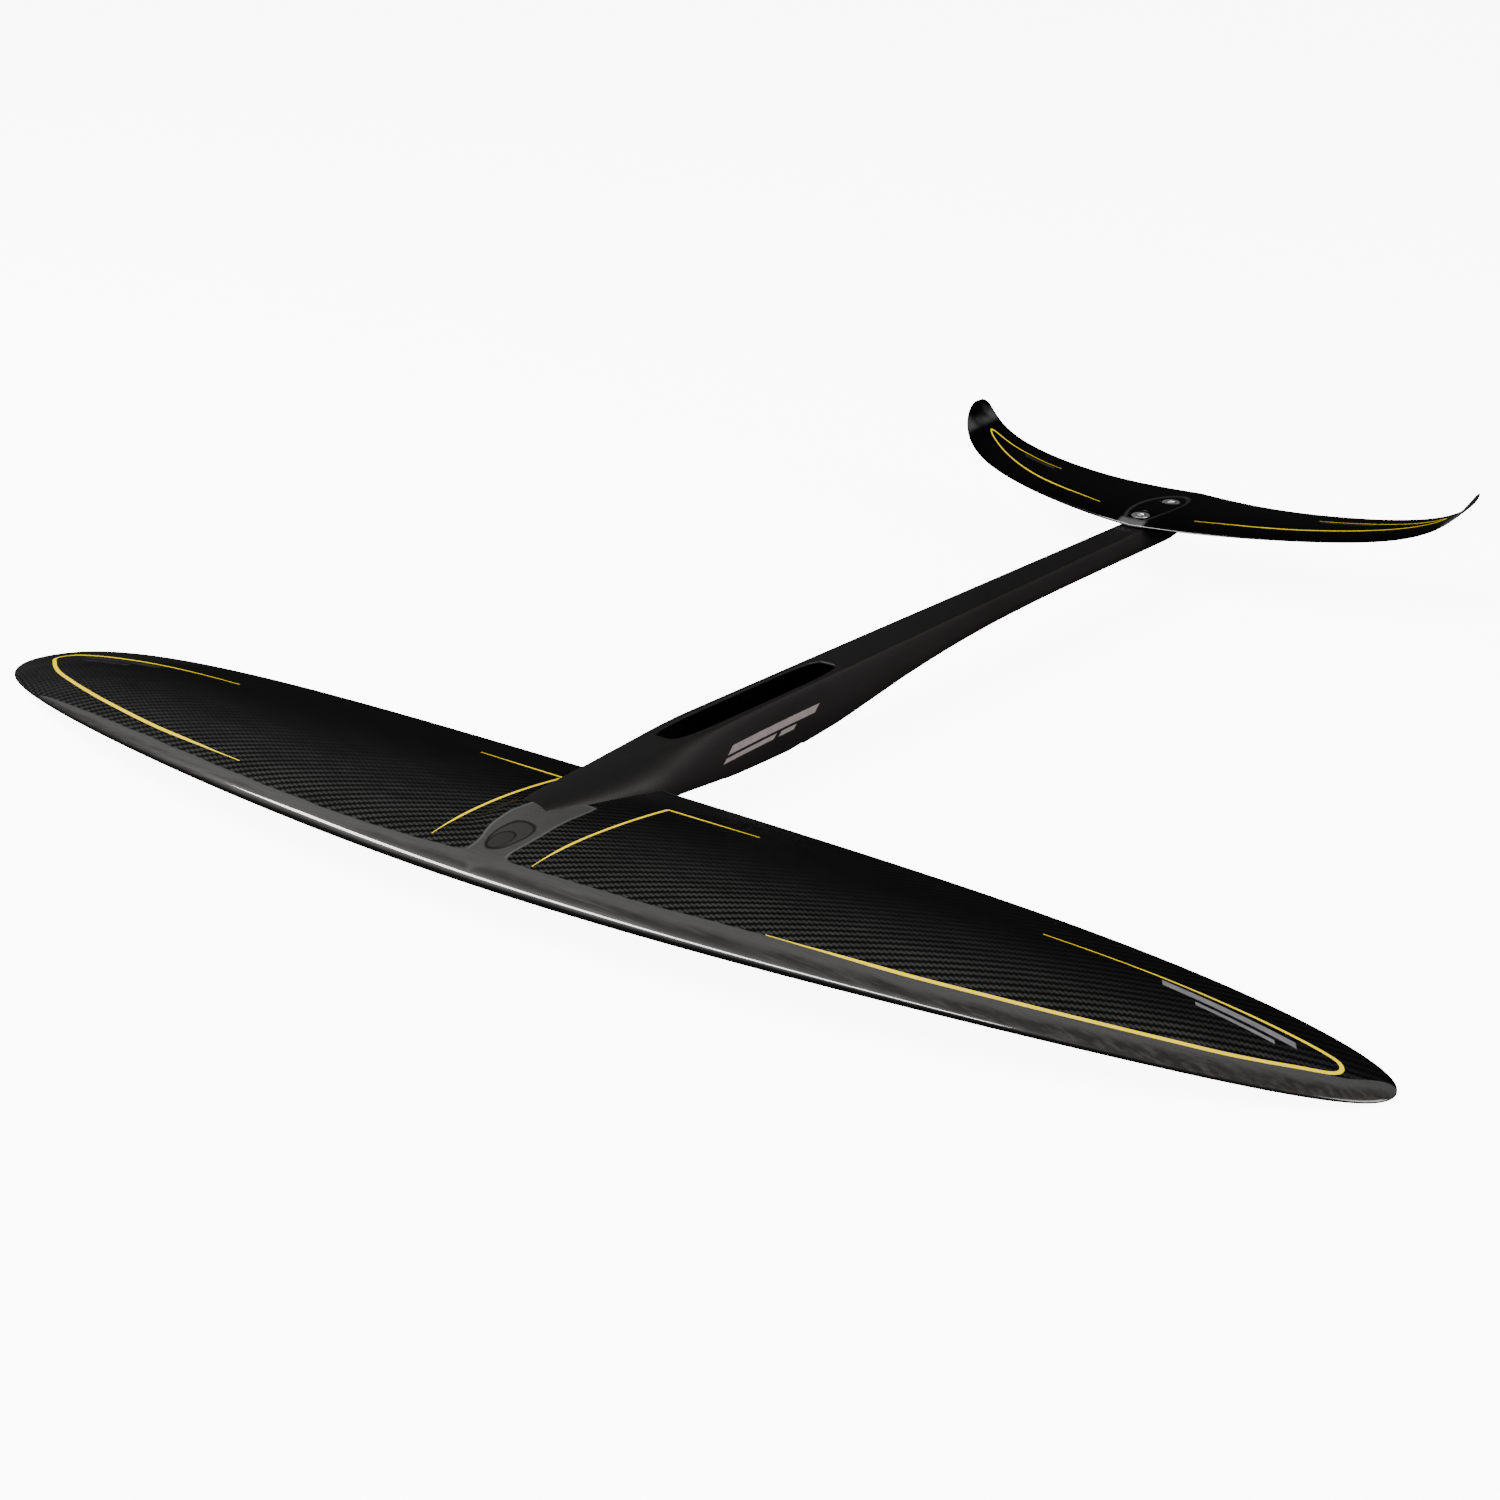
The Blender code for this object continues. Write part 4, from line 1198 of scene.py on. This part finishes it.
def wing_material(name, lower):
    """Gloss coated carbon: grey unidirectional band and nose patch, twill everywhere else, with painted
    shade under the band, painted sheen on the weave and a painted highlight along the patch's edge.
    """
    shade = new_shade(name)
    x, y, _ = shade.split(shade.place())
    chord = shade.read("wing_chord")
    wobble = shade.noise(45.0, 10.0, 10.0, detail=2.0) * 0.012 - 0.006
    edge = shade.curve(shade.read("wing_span"), BAND_EDGE, -1.0, 1.0, -0.1, 1.0)
    ahead = (edge - (chord + wobble)) * ROOT_CHORD
    share = chord / shade.math("MAXIMUM", edge, 0.02)

    streak = shade.noise(14.0, 420.0, 420.0, detail=4.0, roughness=0.7)
    mottle = shade.noise(30.0, 90.0, 90.0, detail=4.0, roughness=0.65)
    fine = shade.noise(60.0, 2400.0, 2400.0, detail=2.0)
    # Darker, streaked tone towards the front of the band, lighter grey further aft.
    streaked = shade.mix(shade.step(streak, 0.42, 0.72), BAND_DARK, BAND_STREAK)
    streaked = shade.mix(shade.step(mottle, 0.30, 0.75, 0.0, 0.55), streaked, BAND_BROWN)
    inner = shade.mix(shade.step(fine, 0.2, 0.8), BAND_GREY, BAND_GREY_LIGHT)
    grey = shade.mix(shade.step(share + (mottle * 0.5 - 0.25), 0.30, 0.72), streaked, inner)
    # Painted shade: the band turns near black where its surface faces down.
    _, _, up = shade.split(shade.node("ShaderNodeTexCoord", {}, "Normal"))
    grey = shade.mix(shade.step(up, 0.25, 0.62), BAND_UNDERSIDE_PAINTED_SHADE, grey)

    if lower:
        band = shade.step(ahead, -0.0003, 0.0005)
        coat = shade.step(band, 0.0, 1.0, CLOTH_COAT, 1.0)
    else:
        patch, patch_color = nose_patch_on_lit_flank(shade, x, y - NOSE_Y, fine, mottle)
        joined = shade.math("SMOOTH_MAX", ahead, patch, 0.010)
        band = shade.step(joined, -0.0003, 0.0005)
        grey = shade.mix(shade.step(patch - ahead, -0.003, 0.002), grey, patch_color)
        # Painted highlight: a thin light line along the patch's edge on the fairing.
        outline = (shade.step(abs(joined - 0.0011), 0.0002, 0.0009, 0.8, 0.0)
                   * shade.step(patch, -0.010, -0.002) * shade.step(ahead, -0.0010, -0.0040))
        grey = shade.mix(outline, grey, PATCH_PAINTED_HIGHLIGHT)
        coat = shade.math("MAXIMUM", band, shade.step(patch, -0.040, -0.020, CLOTH_COAT, 0.05))

    tow_sheen, height = twill(shade)
    # The painted sheen of the weave fades towards the trailing edge.
    fade = shade.step(chord, 0.08, 0.80, 1.0, 0.10) * shade.step(mottle, 0.25, 0.75, 0.75, 1.25)
    color = shade.mix(band, shade.mix(tow_sheen * fade, TWILL_DARK, TWILL_SHEEN), grey)
    color = shade.mix(shade.step(chord, 0.993, 0.999) * 0.6, color, EDGE_LIGHT)
    shade.bump(height * (1.0 - band), 0.10, 0.0002)
    return shade.surface(color=color, roughness=shade.step(band, 0.0, 1.0, 0.30, 0.42), specular=0.15,
                         coat=coat, coat_roughness=0.04)


def nose_patch_on_lit_flank(shade, x, distance, fine, mottle):
    """Reach inside the grey patch on the nose fairing, and its tone with two ovals; partly real grey
    fibre and partly painted light, it covers only the lit right flank and leaves the shaded left flank
    dark.
    """
    low, high = PATCH_EDGE[0][0], PATCH_EDGE[-1][0]
    right, left = [shade.curve(distance, [(row[0], row[side]) for row in PATCH_EDGE], low, high,
                               -0.01, 0.05) for side in (1, 2)]
    inside = shade.math("MINIMUM", right + (mottle * 0.0016 - 0.0008) - x, x - left)
    inside = shade.math("MINIMUM", inside, high - distance)
    color = shade.mix(shade.step(fine, 0.2, 0.8), PATCH_GREY, PATCH_GREY_LIGHT)
    for centre, size in PATCH_OVALS:
        reach = mottle * 0.25 + (shade.oval(x, distance, centre, size) - 0.125)
        color = shade.mix(shade.step(reach, 0.80, 1.02, 0.6, 0.0), color, PATCH_DARK)
        color = shade.mix(shade.step(abs(reach - 0.94), 0.02, 0.12, 0.85, 0.0), color, PATCH_RING)
    return inside, color


def anodised_material():
    shade = new_shade("anodised_satin")
    grain = shade.noise(1900.0, 1900.0, 1900.0, detail=2.0)
    drawn = shade.noise(700.0, 9.0, 700.0)
    cloud = shade.noise(16.0, 9.0, 16.0)
    tone = shade.mix(shade.step(cloud, 0.3, 0.7), ANODISED_DARK, ANODISED_LIGHT)
    tone = shade.mix(shade.step(drawn, 0.45, 0.75, 0.0, 0.25), tone, ANODISED_LINE)
    # Painted shade: surfaces facing up are darkened.
    normal = shade.node("ShaderNodeNewGeometry", {}, "Normal")
    _, _, up = shade.split(normal)
    tone = shade.mix(shade.step(up, 0.55, 0.95, 0.0, 0.75), tone, ANODISED_TOP_PAINTED_SHADE)
    # Painted highlight: edges, found where the bevelled normal parts from the true one, turn paler.
    edge = shade.node("ShaderNodeBevel", {"Radius": 0.0007}, samples=4)
    bent = shade.node("ShaderNodeVectorMath", {0: edge, 1: normal}, 1, operation="DOT_PRODUCT")
    tone = shade.mix(shade.step(bent, 0.995, 0.90, 0.0, 0.45), tone, ANODISED_EDGE_HIGHLIGHT)
    # Painted shade: the inside of the mast socket turns near black and loses its reflection.
    x, y, z = shade.split(shade.place())
    half_length = 0.5 * SOCKET_LENGTH
    inside = (shade.step(z, TOP_Z - 2.0 * SOCKET_RIM, TOP_Z - SOCKET_RIM, 1.0, 0.0)
              * shade.step(abs(y), half_length, half_length + GAP, 1.0, 0.0)
              * shade.step(abs(x), SOCKET_HALF_WIDTH, SOCKET_HALF_WIDTH + GAP, 1.0, 0.0)
              * shade.math("GREATER_THAN", z, -GAP))
    shade.bump(grain, 0.05, 0.00005)
    return shade.surface(color=shade.mix(inside, tone, SOCKET_PAINTED_SHADE), metallic=0.15,
                         roughness=shade.step(grain, 0.2, 0.8, 0.42, 0.56),
                         specular=shade.step(inside, 0.0, 1.0, 0.35, 0.02))


def gloss_material():
    shade = new_shade("gloss_carbon_coat")
    x, y, _ = shade.split(shade.place())
    distance = y - NOSE_Y
    streak = shade.noise(30.0, 900.0, 60.0)
    cloud = shade.noise(25.0, 25.0, 25.0)
    tone = shade.mix(shade.step(streak, 0.35, 0.75), GLOSS_BLACK, GLOSS_STREAK)
    tip = shade.step(shade.read("stab_span"), *STAB_TIP_TONE) * shade.step(cloud, 0.35, 0.65)
    tone = shade.mix(tip * 0.6, tone, GLOSS_GREY_AND_HIGHLIGHT)
    # Painted highlight: a faint light ring along the rim of the recessed pad.
    reach = shade.oval(x, distance, (0.0, PAD_CENTRE), PAD_SIZE)
    tone = shade.mix(shade.step(abs(reach - 1.0), 0.03, 0.10, 0.16, 0.0), tone, GLOSS_GREY_AND_HIGHLIGHT)
    start, end = [STAB_SCREWS[0] - room for room in TONGUE_ENDS]
    tongue = (shade.step(distance, start, end, 1.0, 0.0)
              * shade.step(abs(x), *TONGUE_SIDES, 1.0, 0.0))
    tone = shade.mix(tongue * 0.5, tone, GLOSS_GREY_AND_HIGHLIGHT)
    shade.bump(streak, 0.02, 0.0001)
    return shade.surface(color=tone, roughness=0.28, specular=0.1, coat=0.8, coat_roughness=0.03)


def speckled(name, low, high, cloud_scale, grain_scale, bump, rough, **rest):
    shade = new_shade(name)
    cloud = shade.noise(cloud_scale, cloud_scale, cloud_scale)
    grain = shade.noise(grain_scale, grain_scale, grain_scale, detail=2.0)
    shade.bump(grain, *bump)
    return shade.surface(color=shade.mix(shade.step(cloud, 0.3, 0.7), low, high),
                         roughness=shade.step(grain, 0.2, 0.8, *rough), **rest)


def paint_material(name, low, high):
    return speckled(name, low, high, 120.0, 1500.0, (0.03, 0.00003), (0.30, 0.43),
                    specular=0.05, coat=0.02, coat_roughness=0.1)


def steel_material(name, low, high, rough):
    return speckled(name, low, high, 300.0, 2600.0, (0.04, 0.00004), (rough - 0.06, rough + 0.08),
                    metallic=1.0)


def foam_material():
    shade = new_shade("foam_cells")
    distance = shade.node("ShaderNodeTexVoronoi", {"Vector": shade.place(), "Scale": 1400.0}, "Distance")
    tone = shade.mix(shade.step(distance, 0.1, 0.6), FOAM_DARK, FOAM_LIGHT)
    shade.bump(distance, 0.4, 0.0002)
    return shade.surface(color=tone, roughness=0.85)


def laminate_material():
    shade = new_shade("pressed_laminate")
    _, _, z = shade.split(shade.place())
    plies = shade.math("SINE", z * (tau / PLY))
    fleck = shade.noise(60.0, 900.0, 900.0)
    tone = shade.mix(shade.step(fleck, 0.4, 0.8), LAMINATE_DARK, LAMINATE_LIGHT)
    tone = shade.mix(shade.step(plies, 0.6, 1.0, 0.0, 0.3), tone, LAMINATE_PLY)
    shade.bump(fleck, 0.05, 0.0001)
    return shade.surface(color=tone, roughness=0.32, coat=0.6, coat_roughness=0.1)


# Studio


def aim(item, place, target):
    item.location = place
    item.rotation_mode = "QUATERNION"
    item.rotation_quaternion = (Vector(target) - Vector(place)).to_track_quat("-Z", "Y")


def build_camera():
    data = bpy.data.cameras.new("camera")
    data.lens = CAMERA_LENS
    data.sensor_width = CAMERA_SENSOR
    camera = add_object("camera", data)
    aim(camera, CAMERA_PLACE, CAMERA_TARGET)
    bpy.context.scene.camera = camera


def build_floor(level):
    """Plain pale floor: white to the eye, dark in reflections, soft grey to what it lights."""
    shade = new_shade("floor_pale")
    shade.surface(color=FLOOR_TONE, roughness=0.9, specular=0.0)
    soft = Value(shade, shade.shader.outputs[0])
    mirrored_floor = shade.node("ShaderNodeEmission", {"Strength": FLOOR_MIRRORED})
    glossy = shade.node("ShaderNodeLightPath", {}, "Is Glossy Ray")
    lit = shade.node("ShaderNodeMixShader", {0: glossy, 1: soft, 2: mirrored_floor})
    glow = shade.node("ShaderNodeEmission", {"Strength": FLOOR_GLOW})
    white = shade.node("ShaderNodeBsdfDiffuse", {"Color": FLOOR_WHITE})
    seen = shade.node("ShaderNodeAddShader", {0: glow, 1: white})
    direct = shade.node("ShaderNodeLightPath", {}, "Is Camera Ray")
    blend = shade.node("ShaderNodeMixShader", {0: direct, 1: lit, 2: seen})
    shade.put(shade.tree.nodes["Material Output"].inputs["Surface"], blend)

    bm = bmesh.new()
    bmesh.ops.create_grid(bm, x_segments=2, y_segments=2, size=FLOOR_SIZE)
    mesh = bpy.data.meshes.new("floor")
    bm.to_mesh(mesh)
    bm.free()
    mesh.materials.append(shade.material)
    floor = add_object("floor", mesh)
    floor.location.z = level
    floor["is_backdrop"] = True


def build_world():
    world = bpy.data.worlds.new("studio")
    bpy.context.scene.world = world
    shade = Shade(world)
    direct = shade.node("ShaderNodeLightPath", {}, "Is Camera Ray")
    pale = shade.node("ShaderNodeBackground", {"Strength": BACKDROP})
    room = shade.node("ShaderNodeBackground", {"Strength": ROOM})
    blend = shade.node("ShaderNodeMixShader", {0: direct, 1: room, 2: pale})
    shade.put(shade.tree.nodes["World Output"].inputs["Surface"], blend)


def build_lights():
    for name, place, target, size_x, size_y, power in LIGHTS:
        data = bpy.data.lights.new(name, "AREA")
        data.shape = "RECTANGLE"
        data.size = size_x
        data.size_y = size_y
        data.energy = power
        aim(add_object(name, data), place, target)


def main():
    upper, lower, edge = build_wing()
    top_look = wing_material("wing_carbon_upper", lower=False)
    under_look = wing_material("wing_carbon_lower", lower=True)
    settle(upper, "front_wing", "twill_carbon", top_look, "front_wing_upper_skin")
    settle(lower, "front_wing", "twill_carbon", under_look, "front_wing_lower_skin")
    settle(edge, "front_wing", "directional_carbon", top_look, "front_wing_leading_edge")
    settle(build_keel(), "front_wing", "laminate_block", laminate_material(), "front_wing_keel_block")
    settle(build_fuselage(), "root", "anodised_aluminium", anodised_material(), "fuselage")
    settle(build_stabiliser(), "stabiliser", "gloss_carbon", gloss_material(), "stabiliser")
    build_fasteners(*(steel_material(*look) for look in STEELS))
    foam = foam_material()
    for side in ("left", "right"):
        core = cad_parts["front_wing_core_" + side]
        core.data.materials.clear()
        core.data.materials.append(foam)
    yellow, pale, dim, dark = (paint_material(*look) for look in PAINTS)
    build_wing_lines(yellow)
    build_stabiliser_lines(yellow)
    build_marks(pale, dim, dark)
    build_camera()
    build_floor(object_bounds()[0].z - FLOOR_DROP)
    build_world()
    build_lights()


main()
